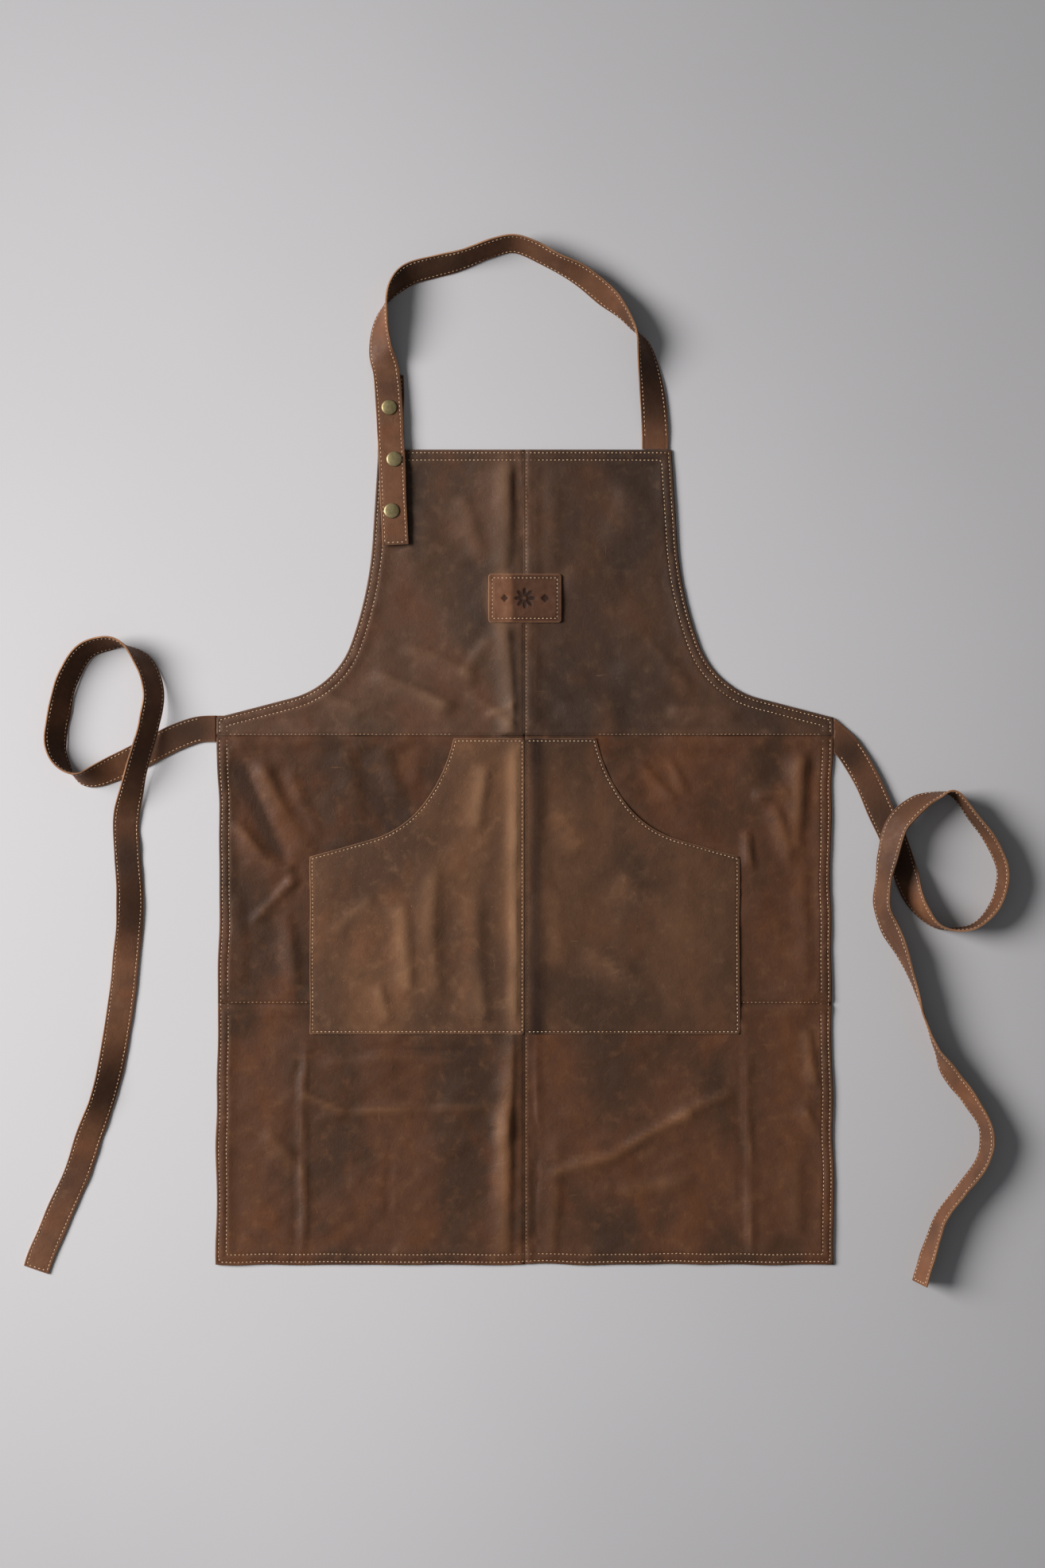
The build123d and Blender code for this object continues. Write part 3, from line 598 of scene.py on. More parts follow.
class Shader:
    """Builds a procedural material with short node calls."""

    def __init__(self, name):
        self.material = bpy.data.materials.new(name)
        self.material.use_nodes = True
        self.tree = self.material.node_tree
        self.tree.nodes.clear()

    def node(self, kind, output=0, settings=None, **inputs):
        """Adds a node and returns one of its outputs.

        Inputs are values or sockets, by name with _ for a space, or in and the input's number.
        """
        made = self.tree.nodes.new(kind)
        made.location = (len(self.tree.nodes) * 40, 0)
        for key, value in (settings or {}).items():
            setattr(made, key, value)
        for key, value in inputs.items():
            by_number = key.startswith("in")
            socket = made.inputs[int(key[2:]) if by_number else key.replace("_", " ")]
            if isinstance(value, bpy.types.NodeSocket):
                self.tree.links.new(value, socket)
            else:
                socket.default_value = value
        return None if output is None else made.outputs[output]

    def position(self):
        return self.node("ShaderNodeAttribute", "Vector", {"attribute_name": "rest"})

    def stretched(self, vector, scale):
        return self.node("ShaderNodeMapping", Vector=vector, Scale=scale)

    def noise(self, vector, scale, detail=4.0, rough=0.55, twist=0.0):
        return self.node(
            "ShaderNodeTexNoise", "Fac", Vector=vector, Scale=scale, Detail=detail,
            Roughness=rough, Distortion=twist,
        )

    def window(self, value, low, high, to_low=0.0, to_high=1.0):
        """Maps low..high to a new range, clamped, with smooth ends."""
        return self.node(
            "ShaderNodeMapRange", settings={"interpolation_type": "SMOOTHSTEP"}, in0=value,
            in1=low, in2=high, in3=to_low, in4=to_high,
        )

    def maths(self, operation, first, second=0.0):
        return self.node(
            "ShaderNodeMath", settings={"operation": operation}, in0=first, in1=second
        )

    def mix(self, amount, first, second):
        settings = {"data_type": "RGBA"}
        return self.node("ShaderNodeMix", 2, settings, in0=amount, in6=first, in7=second)

    def over(self, base, tint, value, low, high, most=1.0):
        """The tint laid over the base as value goes from low to high."""
        return self.mix(self.window(value, low, high, 0.0, most), base, tint)

    def bump(self, height, strength, reach, normal=None):
        inputs = {"Strength": strength, "Distance": reach, "Height": height}
        if normal is not None:
            inputs["Normal"] = normal
        return self.node("ShaderNodeBump", **inputs)

    def finish(self, **inputs):
        surface = self.node("ShaderNodeBsdfPrincipled", **inputs)
        self.node("ShaderNodeOutputMaterial", output=None, Surface=surface)
        return self.material


def colour(*display):
    """Scene-linear colour with alpha, from display values of 0 to 255."""
    linear = []
    for value in display:
        share = value / 255
        linear.append(share / 12.92 if share <= 0.04045 else ((share + 0.055) / 1.055) ** 2.4)
    return (*linear, 1.0)


def layered(shader, mid, dark, warm, pale, flecks):
    """Leather colour: large dark blotches, warm clouds and fine pale mottling over a mid tone."""
    place = shader.position()
    slanted = shader.stretched(place, (1.0, 0.62, 1.0))
    blotch = shader.noise(slanted, 9.5, 3, 0.5, 0.5)
    cloud = shader.noise(slanted, 21, 4, 0.55, 0.4)
    mottle = shader.noise(place, 78, 4, 0.55, 0.2)
    speck = shader.noise(place, 560, 2, 0.6)
    base = shader.over(dark, mid, blotch, 0.34, 0.62)
    base = shader.over(base, warm, cloud, 0.46, 0.76, 0.6)
    base = shader.over(base, pale, mottle, 0.50, 0.80, 0.26)
    base = shader.over(base, dark, mottle, 0.48, 0.22, 0.42)
    return shader.over(base, pale, speck, 0.66, 0.80, flecks)


def toned(shader, base, pale, deep):
    """Lightens worn places and adds painted highlights, darkens pressed marks and darker hides and adds
    painted shade in grooves and hollows, as each mesh's tone says.
    """
    tone = shader.node("ShaderNodeAttribute", "Fac", {"attribute_name": "tone"})
    base = shader.over(base, pale, tone, 0.0, 1.0)
    return shader.over(base, deep, tone, 0.0, -1.0)


def scratches(shader, place):
    """Thin pale marks in two directions, broken up by noise."""
    marks = None
    for stretch in ((9.0, 95.0, 20.0), (120.0, 14.0, 20.0)):
        drawn = shader.noise(shader.stretched(place, stretch), 1.0, 6, 0.7, 1.6)
        line = shader.window(drawn, 0.655, 0.70)
        marks = line if marks is None else shader.maths("MAXIMUM", marks, line)
    keep = shader.window(shader.noise(place, 26, 2), 0.52, 0.62)
    return shader.maths("MULTIPLY", marks, keep)


def leather(name, tones, rough, grain, sheen=0.0, flecks=0.3):
    """Grained leather with blotches, scratches, pores and soft wrinkles.

    The tones are the middle one, dark blotches, warm clouds, pale mottling, which also serves wear and
    painted highlights, and the deep one for pressed marks and painted shade in grooves.
    """
    shader = Shader(name)
    mid, dark, warm, pale, deep = [colour(*tone) for tone in tones]
    place = shader.position()
    base = toned(shader, layered(shader, mid, dark, warm, pale, flecks), pale, deep)
    marks = scratches(shader, place)
    base = shader.mix(shader.maths("MULTIPLY", marks, 0.35), base, pale)
    wrinkle = shader.noise(place, 150, 5, 0.6, 0.8)
    pores = shader.node(
        "ShaderNodeTexVoronoi", "Distance", {"feature": "DISTANCE_TO_EDGE"}, Vector=place,
        Scale=900.0,
    )
    pebble = shader.window(pores, 0.0, 0.22)
    fine = shader.noise(place, 1900, 3, 0.7)
    relief = shader.bump(wrinkle, 0.32 * grain, 1.2 * MM)
    relief = shader.bump(pebble, 0.28 * grain, 0.25 * MM, relief)
    relief = shader.bump(fine, 0.35 * grain, 0.15 * MM, relief)
    roughness = shader.window(wrinkle, 0.3, 0.7, rough - 0.09, rough + 0.11)
    return shader.finish(
        Base_Color=base, Roughness=roughness, Specular_IOR_Level=0.18, Sheen_Weight=sheen,
        Sheen_Roughness=0.5, Normal=relief,
    )


def suede(name, tones):
    """Flesh side or raw cut edge: matt and fibrous. Middle, dark, pale and deep tones."""
    shader = Shader(name)
    mid, dark, pale, deep = [colour(*tone) for tone in tones]
    place = shader.position()
    patchy = shader.noise(place, 40, 5, 0.6, 0.4)
    fibre = shader.noise(place, 1300, 4, 0.7)
    base = shader.over(dark, mid, patchy, 0.35, 0.68)
    base = shader.over(base, pale, fibre, 0.50, 0.75, 0.55)
    base = toned(shader, base, pale, deep)
    relief = shader.bump(fibre, 0.55, 0.35 * MM)
    return shader.finish(
        Base_Color=base, Roughness=0.9, Specular_IOR_Level=0.2, Sheen_Weight=0.08,
        Sheen_Roughness=0.6, Normal=relief,
    )


def thread_material(name, worn, clean):
    """Twisted waxed thread: slanting plies and a little soiling."""
    shader = Shader(name)
    place = shader.position()
    twist = shader.node(
        "ShaderNodeTexWave", "Fac", {"wave_type": "BANDS", "bands_direction": "DIAGONAL"},
        Vector=place, Scale=900.0, Distortion=0.6,
    )
    soil = shader.noise(place, 60, 4, 0.6)
    base = shader.over(colour(*worn), colour(*clean), soil, 0.30, 0.60)
    base = shader.over(base, colour(120, 84, 58), twist, 0.0, 1.0, 0.30)
    return shader.finish(
        Base_Color=base, Roughness=0.75, Sheen_Weight=0.2,
        Normal=shader.bump(twist, 0.5, 0.12 * MM),
    )


def metal(name, bright, tarnish, rough, rested=False):
    """Antiqued metal: bright where rubbed, tarnished elsewhere, with fine brushing.

    A rested one is for meshes made here, which keep their place at rest. CAD nodes don't.
    """
    shader = Shader(name)
    place = shader.position() if rested else shader.node("ShaderNodeTexCoord", "Object")
    patina = shader.noise(place, 190, 3, 0.5, 0.3)
    fine = shader.noise(place, 3200, 3, 0.7)
    base = shader.over(colour(*tarnish), colour(*bright), patina, 0.34, 0.70)
    return shader.finish(
        Base_Color=base, Metallic=0.85,
        Roughness=shader.window(patina, 0.3, 0.7, rough + 0.08, rough - 0.04),
        Normal=shader.bump(fine, 0.12, 0.04 * MM),
    )


# The last tone of each leather table is the deep one: pressed marks, and painted shade in grooves and
# hollows
DEEP = (40, 24, 15)
BODY_TONES = ((87, 56, 38), (64, 44, 32), (104, 62, 37), (130, 90, 60), DEEP)
BIB_TONES = ((87, 61, 46), (66, 50, 40), (101, 65, 45), (130, 98, 75), DEEP)
POCKET_TONES = ((110, 75, 51), (80, 55, 39), (118, 76, 49), (152, 113, 82), DEEP)
PATCH_TONES = ((126, 85, 61), (100, 67, 49), (130, 82, 56), (154, 113, 86), (50, 30, 21))
STRAP_TONES = ((110, 73, 51), (82, 55, 40), (116, 72, 46), (140, 103, 76), (46, 30, 21))
LINING_TONES = ((92, 60, 41), (68, 46, 32), (100, 62, 40), (124, 88, 64), DEEP)
FLESH_TONES = ((124, 90, 66), (98, 68, 49), (156, 120, 92), DEEP)
EDGE_TONES = ((168, 122, 87), (134, 94, 66), (192, 148, 112), DEEP)
OLD_BRASS = ((176, 160, 118), (132, 118, 84), 0.42)

BODY = leather("body_leather", BODY_TONES, rough=0.5, grain=1.0)
BIB = leather("bib_leather", BIB_TONES, rough=0.5, grain=1.0)
POCKET = leather("pocket_leather", POCKET_TONES, rough=0.75, grain=1.25, sheen=0.08, flecks=0.75)
PATCH = leather("patch_leather", PATCH_TONES, rough=0.5, grain=0.8)
STRAP = leather("strap_leather", STRAP_TONES, rough=0.56, grain=0.9)
FLESH = suede("flesh_side", FLESH_TONES)
LINING = leather("strap_lining", LINING_TONES, rough=0.8, grain=1.1)
RAW_EDGE = suede("raw_edge", EDGE_TONES)
THREAD = thread_material("thread", (184, 140, 102), (232, 194, 156))
SEAM_THREAD = thread_material("seam_thread", (150, 108, 78), (196, 150, 112))
# Dark thread with the shadow of the pocket's fold painted in, for the row right of its centre seam
SHADED_THREAD = thread_material("shaded_thread", (76, 54, 40), (98, 70, 51))
BRASS = metal("antique_brass", *OLD_BRASS, rested=True)
BRASS_HIDDEN = metal("antique_brass_hidden", *OLD_BRASS)
STEEL = metal("spring_steel", (190, 190, 188), (120, 118, 114), 0.28)


# ---- body panels


def millimetres(*distances):
    """A list of distances given in millimetres."""
    return [value * MM for value in distances]


# How far from a piece's edge its mesh has rings of points
BODY_RINGS = millimetres(
    0.12, 0.4, 0.8, 1.4, 2.3, 3.2, 4.1, 5.6, 7.6, 9.5, 10.4, 11.3, 12.1, 13, 15
)
RAW_RINGS = millimetres(0.1, 0.25, 0.45, 1.0, 1.8, 2.6, 3.4, 5, 7.5)
PATCH_RINGS = millimetres(0.1, 0.3, 0.6, 1.2, 2, 3, 4, 5)
TAPE_RINGS = millimetres(0.15, 0.8, 2.4, 4.2)
TONGUE_RINGS = millimetres(0.1, 0.3, 1)


def body_soft(points):
    """How far each point of the panels falls below its face, at hems and at seams."""
    hem = distance(points, HEM_LINE)
    x, y = points[:, 0], points[:, 1]
    seam = np.minimum(x, np.minimum(np.abs(y), np.abs(y - KNEE))) - JOIN_GAP
    return np.maximum(drop(hem, HEM_ROUND), drop(np.maximum(seam, 0), SEAM_ROUND))


def body_kinds(centre):
    """Grain side in front and on the turned margins, flesh side on the rest of the back."""
    _, hem, seam = lay(centre[:, 0], centre[:, 1])
    front = np.zeros(len(centre), dtype=int)
    back = ((hem > HEM) & (seam > ALLOWANCE)).astype(int)
    return front, back


def body_tone(x, y):
    """Pale along the turned edges; paler on the crests of creases and the ridges beside the seams, partly
    wear and partly painted highlight; painted shade in sunken creases and in the grooves of the hem's
    stitches.
    """
    _, hem, seam = lay(x, y)
    # Painted highlight, partly wear, on crease crests, and painted shade in sunken creases
    tone = 0.27 * np.clip(creased(x, y, CREASES, seed=100) / MM, -1.6, 2.0)
    tone += 0.34 * bell(hem - 0.5 * MM, 0.9 * MM)
    # Ridge beside each seam paler, partly wear and partly painted highlight
    tone += 0.14 * bell(seam - 4.5 * MM, 3 * MM)
    # Painted shade in the grooves of the hem's stitches
    for row in HEM_ROWS:
        tone -= 0.3 * bell(hem - row, 0.7 * MM)
    return tone


# How much darker each piece is than the lightest one: the tone of its part of the hide, and for the
# pocket's right half also painted shade, as that half slopes away from the light
SHADES = {"bib_right": 0.36, "waist_left": 0.2, "waist_right": 0.16, "pocket_half_right": 0.45}


def shaded(tone_of, name):
    """The tones of a piece, darkened by its hide's tone and, for the pocket's right half, painted shade.
    """
    return lambda x, y: np.clip(tone_of(x, y) - SHADES.get(name, 0.0), -1, 1)


def body_panels():
    for hand, side in (("left", -1), ("right", 1)):
        for kind, outline, body, hide in (
            ("bib", BIB_OUTLINE, "bib", BIB), ("waist", WAIST_OUTLINE, "skirt", BODY),
            ("skirt", SKIRT_OUTLINE, "skirt", BODY),
        ):
            panel = sheet(
                f"{kind}_{hand}", outline, side, BODY_RINGS, body_top, body_bottom, body_soft,
                [hide, FLESH, hide], body_kinds, shaded(body_tone, f"{kind}_{hand}"),
            )
            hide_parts(f"{kind}_panel_{hand}")
            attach(panel, body)


def waist_tape():
    """Seam allowance pressed flat behind the waist seam."""
    corner = np.array([HALF_WIDTH - 4 * MM, 6.5 * MM])
    outline = box_outline(-corner, corner)
    edge = np.array(outline)
    tape = sheet(
        "waist_seam_allowance", outline, 1, TAPE_RINGS, level(WAIST_TAPE), level(0.0),
        lambda points: drop(distance(points, edge), 0.15 * MM), [FLESH, BODY, RAW_EDGE],
        lambda centre: (np.zeros(len(centre), int), np.ones(len(centre), int)), level(0.0),
    )
    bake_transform(tape)


# ---- pocket and patch


def pocket_soft(points):
    seam = np.maximum(points[:, 0] - JOIN_GAP, 0)
    return np.maximum(drop(pocket_rim(*points.T), RAW_ROUND), drop(seam, RAW_ROUND))


def pocket_tone(x, y):
    """Pale on folds, partly wear and partly painted highlight, on edges with wear, and beside the centre
    seam with painted highlights; painted shade in the hollows, the fold and the grooves.
    """
    edge = pocket_rim(x, y)
    folds = creased(x, y, POCKET_FOLDS, seed=200)
    hollows = np.hypot((x + 74 * MM) / 52, (y + 200 * MM) / 70)
    # Folds paler, partly wear and partly painted highlight; edges paler with wear
    tone = 0.22 * np.clip(folds / MM, -1.5, 2.5) + 0.25 * bell(edge, 0.6 * MM)
    # Painted shade in the hollow between the left half's folds
    tone -= 0.42 * bell(hollows, MM)
    # Painted highlights on the ridge beside the centre seam and on the left flank, which faces the light
    tone += 0.14 * bell(np.abs(x) - 4.5 * MM, 3.5 * MM) + 0.2 * bell(x + 15 * MM, 9 * MM)
    # Painted shade in the stitch groove and right of the centre seam, where the fold turns from the light
    tone -= 0.25 * bell(edge - EDGE_ROW, 0.8 * MM) + 0.4 * bell(x - 11 * MM, 10 * MM)
    # Painted shade in the centre seam's groove
    return tone - 0.2 * bell(x, 0.7 * MM)


def pocket():
    for hand, side in (("left", -1), ("right", 1)):
        half = sheet(
            f"pocket_half_{hand}", POCKET_OUTLINE, side, RAW_RINGS, pocket_top, pocket_bottom,
            pocket_soft, [POCKET, FLESH, RAW_EDGE], raw_edged(pocket_rim, 0.2 * MM),
            shaded(pocket_tone, f"pocket_half_{hand}"),
        )
        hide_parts(f"pocket_{hand}")
        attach(half, "skirt")


PATCH_CENTRE = (patch_low + patch_high) / 2
PATCH_CORNER = 3 * MM
PATCH_BEND = -17 * MM  # where the patch bends over the fold in the bib
PETALS = 8


def patch_outline():
    """Rectangle with rounded corners."""
    half_x, half_y = (patch_high - patch_low)[:2] / 2 - PATCH_CORNER
    points = []
    for side_x, side_y, start in ((1, -1, -90), (1, 1, 0), (-1, 1, 90), (-1, -1, 180)):
        centre = np.array([side_x * half_x, PATCH_CENTRE[1] + side_y * half_y])
        for step in range(6):
            points.append(centre + turned((PATCH_CORNER, 0), radians(start + 18 * step)))
    return closed(*points)


PATCH_EDGE = np.array(patch_outline())


def patch_rim(x, y):
    """Distance from the patch's edge."""
    return distance(np.column_stack([x, y]), PATCH_EDGE)


def emblem(x, y):
    """1 inside the pressed mark: a rosette of petals between two lozenges."""
    y = y - PATCH_CENTRE[1]
    mark = np.zeros(len(x))
    for petal in range(PETALS):
        angle = 2 * pi * petal / PETALS
        along = x * cos(angle) + y * sin(angle) - 6 * MM
        aside = y * cos(angle) - x * sin(angle)
        size = np.hypot(along / (4.1 * MM), aside / (1.8 * MM))
        mark = np.maximum(mark, 1 - smooth(size, 0.75, 1.15))
    for middle in (-20 * MM, 20 * MM):
        size = (np.abs(x - middle) + np.abs(y)) / (4.2 * MM)
        mark = np.maximum(mark, 1 - smooth(size, 0.8, 1.1))
    return mark


def patch_top(x, y):
    """Height of the patch's front face, with its pressed mark and the groove of its stitches."""
    top = patch_high[2] + 0.15 * MM * swell(x, y, 30 * MM, 41)
    top = top + ridge(x - PATCH_BEND, 8, 0.8) + 0.08 * MM * swell(x, y, 9 * MM, 42)
    return top - 0.5 * MM * emblem(x, y) + ridge(patch_rim(x, y) - PATCH_ROW, 0.8, -0.35)


def patch_tone(x, y):
    edge = patch_rim(x, y)
    tone = 0.35 * bell(edge, 0.8 * MM) - 0.75 * emblem(x, y)
    # Painted shade on the patch beyond its bend, which turns away from the light
    tone -= 0.6 * smooth(x - PATCH_BEND, 0, 7 * MM)
    # Painted shade in the groove of its stitches
    return tone - 0.2 * bell(edge - PATCH_ROW, 1.1 * MM)


def patch():
    plate = sheet(
        "patch_plate", patch_outline(), 1, PATCH_RINGS, patch_top,
        lambda x, y: np.maximum(patch_low[2], body_top(x, y)) + 0.02 * MM,
        lambda points: drop(patch_rim(*points.T), RAW_ROUND), [PATCH, FLESH, RAW_EDGE],
        raw_edged(patch_rim, 0.3 * MM), patch_tone, grid=0.9 * MM,
    )
    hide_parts("patch")
    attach(plate, "bib")


# ---- stitches

STITCH_PITCH = 4.0 * MM
STITCH_LENGTH = 2.3 * MM
STITCH_RADIUS = 0.38 * MM
SEAM_STITCH_RADIUS = 0.28 * MM
STITCH_SIDES = 6
STITCH_RISE = 0.55  # how far a stitch's middle stands above the face, in its radii
STITCH_SPREAD = 1.15  # how much wider than high a stitch is
# Along a stitch: place from end to end, share of its full thickness, and how far it has sunk
STITCH_SHAPE = (
    (-1.0, 0.55, 1.5), (-0.7, 0.9, 0.55), (0.0, 1.0, 0.1), (0.7, 0.9, 0.55), (1.0, 0.55, 1.5),
)


def stitches(name, rows, nodes=(), thread=None, radius=STITCH_RADIUS):
    """Separate stitches along rows, each row being its points and the surface's normals there."""
    dice = np.random.default_rng(len(name))
    vertices, faces = [], []
    for points, normals in rows:
        points, normals = np.asarray(points), np.asarray(normals)
        steps = np.linalg.norm(np.diff(points, axis=0), axis=1)
        run = np.concatenate([[0], np.cumsum(steps)])
        count = int(run[-1] / STITCH_PITCH)
        if count < 1:
            continue
        middles = (np.arange(count) + 0.5) * run[-1] / count

        def pick(values, at):
            return np.column_stack([np.interp(at, run, column) for column in values.T])

        centre = pick(points, middles)
        heading = pick(points, middles + MM) - pick(points, middles - MM)
        heading /= np.linalg.norm(heading, axis=1)[:, None]
        normal = pick(normals, middles)
        aside = np.cross(normal, heading)
        aside /= np.linalg.norm(aside, axis=1)[:, None]
        normal = np.cross(heading, aside)
        slant = dice.normal(0, 0.06, count)[:, None]
        heading = heading + slant * aside
        centre = centre + aside * dice.normal(0, 0.06 * MM, count)[:, None]
        for index in range(count):
            first = len(vertices)
            for place, share, sunk in STITCH_SHAPE:
                ring = centre[index] + heading[index] * place * STITCH_LENGTH / 2
                ring = ring + normal[index] * radius * (STITCH_RISE - sunk)
                for side in range(STITCH_SIDES):
                    angle = 2 * pi * side / STITCH_SIDES
                    spoke = aside[index] * cos(angle) * STITCH_SPREAD + normal[index] * sin(angle)
                    vertices.append(ring + spoke * radius * share)
            faces += ring_faces(first, len(STITCH_SHAPE), STITCH_SIDES)
            faces.append(tuple(range(first + STITCH_SIDES - 1, first - 1, -1)))
            faces.append(tuple(range(len(vertices) - STITCH_SIDES, len(vertices))))
    shape = np.array(vertices)
    shape[:, 2] = np.maximum(shape[:, 2], FLOOR_CLEAR)
    thing = make_object(name, shape, faces, [thread or THREAD])
    if nodes:
        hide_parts(*nodes)
    return thing


def row_on(top, line, side):
    """A row of stitches on a face, from a right-hand line in plan."""
    plan = resample(line, 1.5 * MM) * [side, 1]
    heights = top(plan[:, 0], plan[:, 1])
    points = np.column_stack([warp(plan), heights])
    return points, np.tile([0.0, 0.0, 1.0], (len(points), 1))


def body_stitches():
    """Two rows round the hem, and one beside each seam that stops short of hem, pocket and patch."""
    hem_bib, hem_skirt, seam_bib, seam_skirt = [], [], [], []
    edge = resample(HEM_LINE, EDGE_STEP)
    stop = 2 * MM
    far = HEM_ROWS[1] + stop
    for side in (-1, 1):
        for row in HEM_ROWS:
            line = inset(edge, row)
            hem_bib.append(row_on(body_top, line[line[:, 1] > stop], side))
            hem_skirt.append(row_on(body_top, line[line[:, 1] < -stop], side))
        waist = [(POCKET_HALF_TOP + stop, SEAM_ROW), (HALF_WIDTH - far, SEAM_ROW)]
        seam_bib.append(row_on(body_top, waist, side))
        knee = KNEE + SEAM_ROW
        across = [(POCKET_HALF + stop, knee), (HALF_WIDTH - far, knee)]
        seam_skirt.append(row_on(body_top, across, side))
    for low, high in ((stop, patch_low[1] - stop), (patch_high[1] + stop, BIB_TOP - far)):
        seam_bib.append(row_on(body_top, [(SEAM_ROW, low), (SEAM_ROW, high)], 1))
    centre = [(SEAM_ROW, HEM_BOTTOM + far), (SEAM_ROW, POCKET_BOTTOM - stop)]
    seam_skirt.append(row_on(body_top, centre, 1))
    for body, hems, seams in (("bib", hem_bib, seam_bib), ("skirt", hem_skirt, seam_skirt)):
        rows = stitches(f"{body}_hem_stitches", hems, [f"{body}_hem_thread"])
        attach(rows, body)
        rows = stitches(
            f"{body}_seam_stitches", seams, [f"{body}_seam_thread"], SEAM_THREAD,
            SEAM_STITCH_RADIUS,
        )
        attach(rows, body)


def pocket_stitches():
    """A row round both halves. The one right of the centre seam lies in the fold's shadow, which is
    painted into its dark thread.
    """
    line = inset(resample(POCKET_EDGE, EDGE_STEP), EDGE_ROW)
    line = line[line[:, 0] > EDGE_ROW]
    centre = [(EDGE_ROW, POCKET_BOTTOM + EDGE_ROW), (EDGE_ROW, POCKET_TOP - EDGE_ROW)]
    rows = [row_on(pocket_top, line, -1), row_on(pocket_top, line, 1), row_on(pocket_top, centre, -1)]
    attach(stitches("pocket_stitches", rows, ["pocket_thread"]), "skirt")
    # The row right of the centre seam takes the thread with painted shadow
    sunk = stitches(
        "pocket_centre_stitches", [row_on(pocket_top, centre, 1)], ["pocket_thread"],
        SHADED_THREAD, SEAM_STITCH_RADIUS,
    )
    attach(sunk, "skirt")


def patch_stitches():
    half = (patch_high - patch_low)[:2] / 2 - PATCH_ROW
    middle = np.array([0, PATCH_CENTRE[1]])
    ring = box_outline(middle - half, middle + half)
    rows = [row_on(patch_top, side, 1) for side in zip(ring[:-1], ring[1:])]
    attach(stitches("patch_stitches", rows, ["patch_thread"]), "bib")


# ---- straps

# Strap centrelines as in the CAD: x, y, roll and lift, the roll in degrees and the rest in millimetres
SNAP_Y = 324
LEG_X = -134
LEG_SLANT = -0.048
LEG_LIFT = LEG_BASE / MM


def leg_x(y):
    return LEG_X + LEG_SLANT * (y - SNAP_Y)


NECK_PATH = (
    (129, 283.4, 0, 0.4), (129, 299, -4, 0.4), (127, 328, -14, 0.4), (123, 357, -32, 0.2),
    (117, 385, -60, 0), (108, 401, -90, 0), (94, 420, -116, 0), (77, 437, -138, 0),
    (55, 454, -135, 0), (30, 467, -122, 0), (6, 480, -124, 0), (-13, 485, -124, 0),
    (-36, 479, -122, 0), (-63, 469, -128, 0), (-92, 462, -137, 0), (-112, 456, -137, 0),
    (-126, 445, -122, 0), (-136, 429, -90, 0), (-142, 405, -54, 0.8), (-142, 380, -26, 3),
    (-137, 358, 0, LEG_LIFT), (leg_x(324), 324, 0, LEG_LIFT), (leg_x(300), 300, 0, LEG_LIFT),
    (leg_x(283), 283, 0, LEG_LIFT), (leg_x(250), 250, 0, LEG_LIFT),
    (leg_x(TAIL_END / MM), TAIL_END / MM, 0, LEG_LIFT),
)
ROOT_SPLIT = 328 * MM  # height where the sewn root of the neck strap gives way to the loop
TAIL_SPLIT = 300 * MM  # height where the loop gives way to the free end
# Where the neck strap and its tab begin and end their bend over the bib's top edge
TOP_BEND = ((0, BIB_TOP, 0), (0, BIB_TOP + 18 * MM, 0))
TIE_LEFT_PATH = (
    (-290, 7, 0, 0.4), (-306, 7, 0, 0.4), (-324, 6, 2, 0.2), (-344, -1, 3, 0), (-370, -14, 3, 0),
    (-402, -30, 14, 0), (-430, -42, 48, 0), (-447, -37, 90, 0), (-460, -20, 124, 0),
    (-463, 0, 138, 0), (-459, 26, 139, 0), (-451, 56, 136, 0), (-435, 82, 127, 0),
    (-413, 91, 119, 0), (-393, 88, 90, 0), (-374, 69, 52, 0), (-366, 42, 45, 2.5),
    (-370, 12, 46, 6), (-378, -17, 46, 6), (-387, -50, 36, 2.5), (-394, -84, 12, 0),
    (-393, -122, 4, 0), (-390, -161, 16, 0), (-393, -205, 6, 0), (-399, -262, 4, 0),
    (-407, -315, 18, 0), (-416, -355, 26, 0), (-430, -394, 12, 0), (-443, -432, 4, 0),
    (-461, -473, 0, 0), (-475, -505, 0, 0), (-483, -528, 0, 0),
)
TIE_RIGHT_PATH = (
    (290, 13, 0, 0.4), (305, 1, 0, 0.4), (322, -16, -3, 0.2), (338, -44, -6, 0), (352, -75, -7, 0),
    (366, -106, -9, 0), (375, -134, -24, 0), (386, -164, -54, 0), (404, -186, -78, 0),
    (424, -191, -92, 0), (446, -186, -96, 0), (465, -164, -104, 0), (471, -134, -107, 0),
    (461, -107, -108, 0), (441, -79, -104, 0), (423, -57, -100, 0), (405, -59, -76, 1),
    (384, -69, -50, 6), (366, -88, -38, 9.5), (357, -117, -46, 9.5), (353, -143, -60, 5),
    (352, -168, -60, 0.5), (360, -190, -52, 0), (372, -215, -70, 0), (384, -246, -88, 0),
    (394, -278, -96, 0), (405, -307, -88, 0), (420, -334, -58, 0), (438, -358, -60, 0),
    (454, -386, -68, 0), (452, -417, -70, 0), (431, -447, -74, 0), (411, -473, -74, 0),
    (400, -504, -66, 0), (389, -540, -64, 0),
)


def calm(before, after):
    """Slope that joins two steps without overshooting either: their harmonic mean, or level at a turn."""
    if before * after <= 0:
        return 0.0
    return 2 * before * after / (before + after)


def between(stations, place):
    """Smooth x, y, roll and lift at a place along stations, as cubic curves through them."""
    last = len(stations) - 1
    index = min(int(place), last - 1)
    t = place - index
    near = [stations[max(0, min(last, index + step))] for step in (-1, 0, 1, 2)]
    values = []
    for component, (a, b, c, d) in enumerate(zip(*near)):
        if component < 2:
            leave, arrive = (c - a) / 2, (d - b) / 2
        else:
            leave, arrive = calm(b - a, c - b), calm(c - b, d - c)
        values.append(
            (2 * t**3 - 3 * t**2 + 1) * b
            + (t**3 - 2 * t**2 + t) * leave
            + (3 * t**2 - 2 * t**3) * c
            + (t**3 - t**2) * arrive
        )
    return values


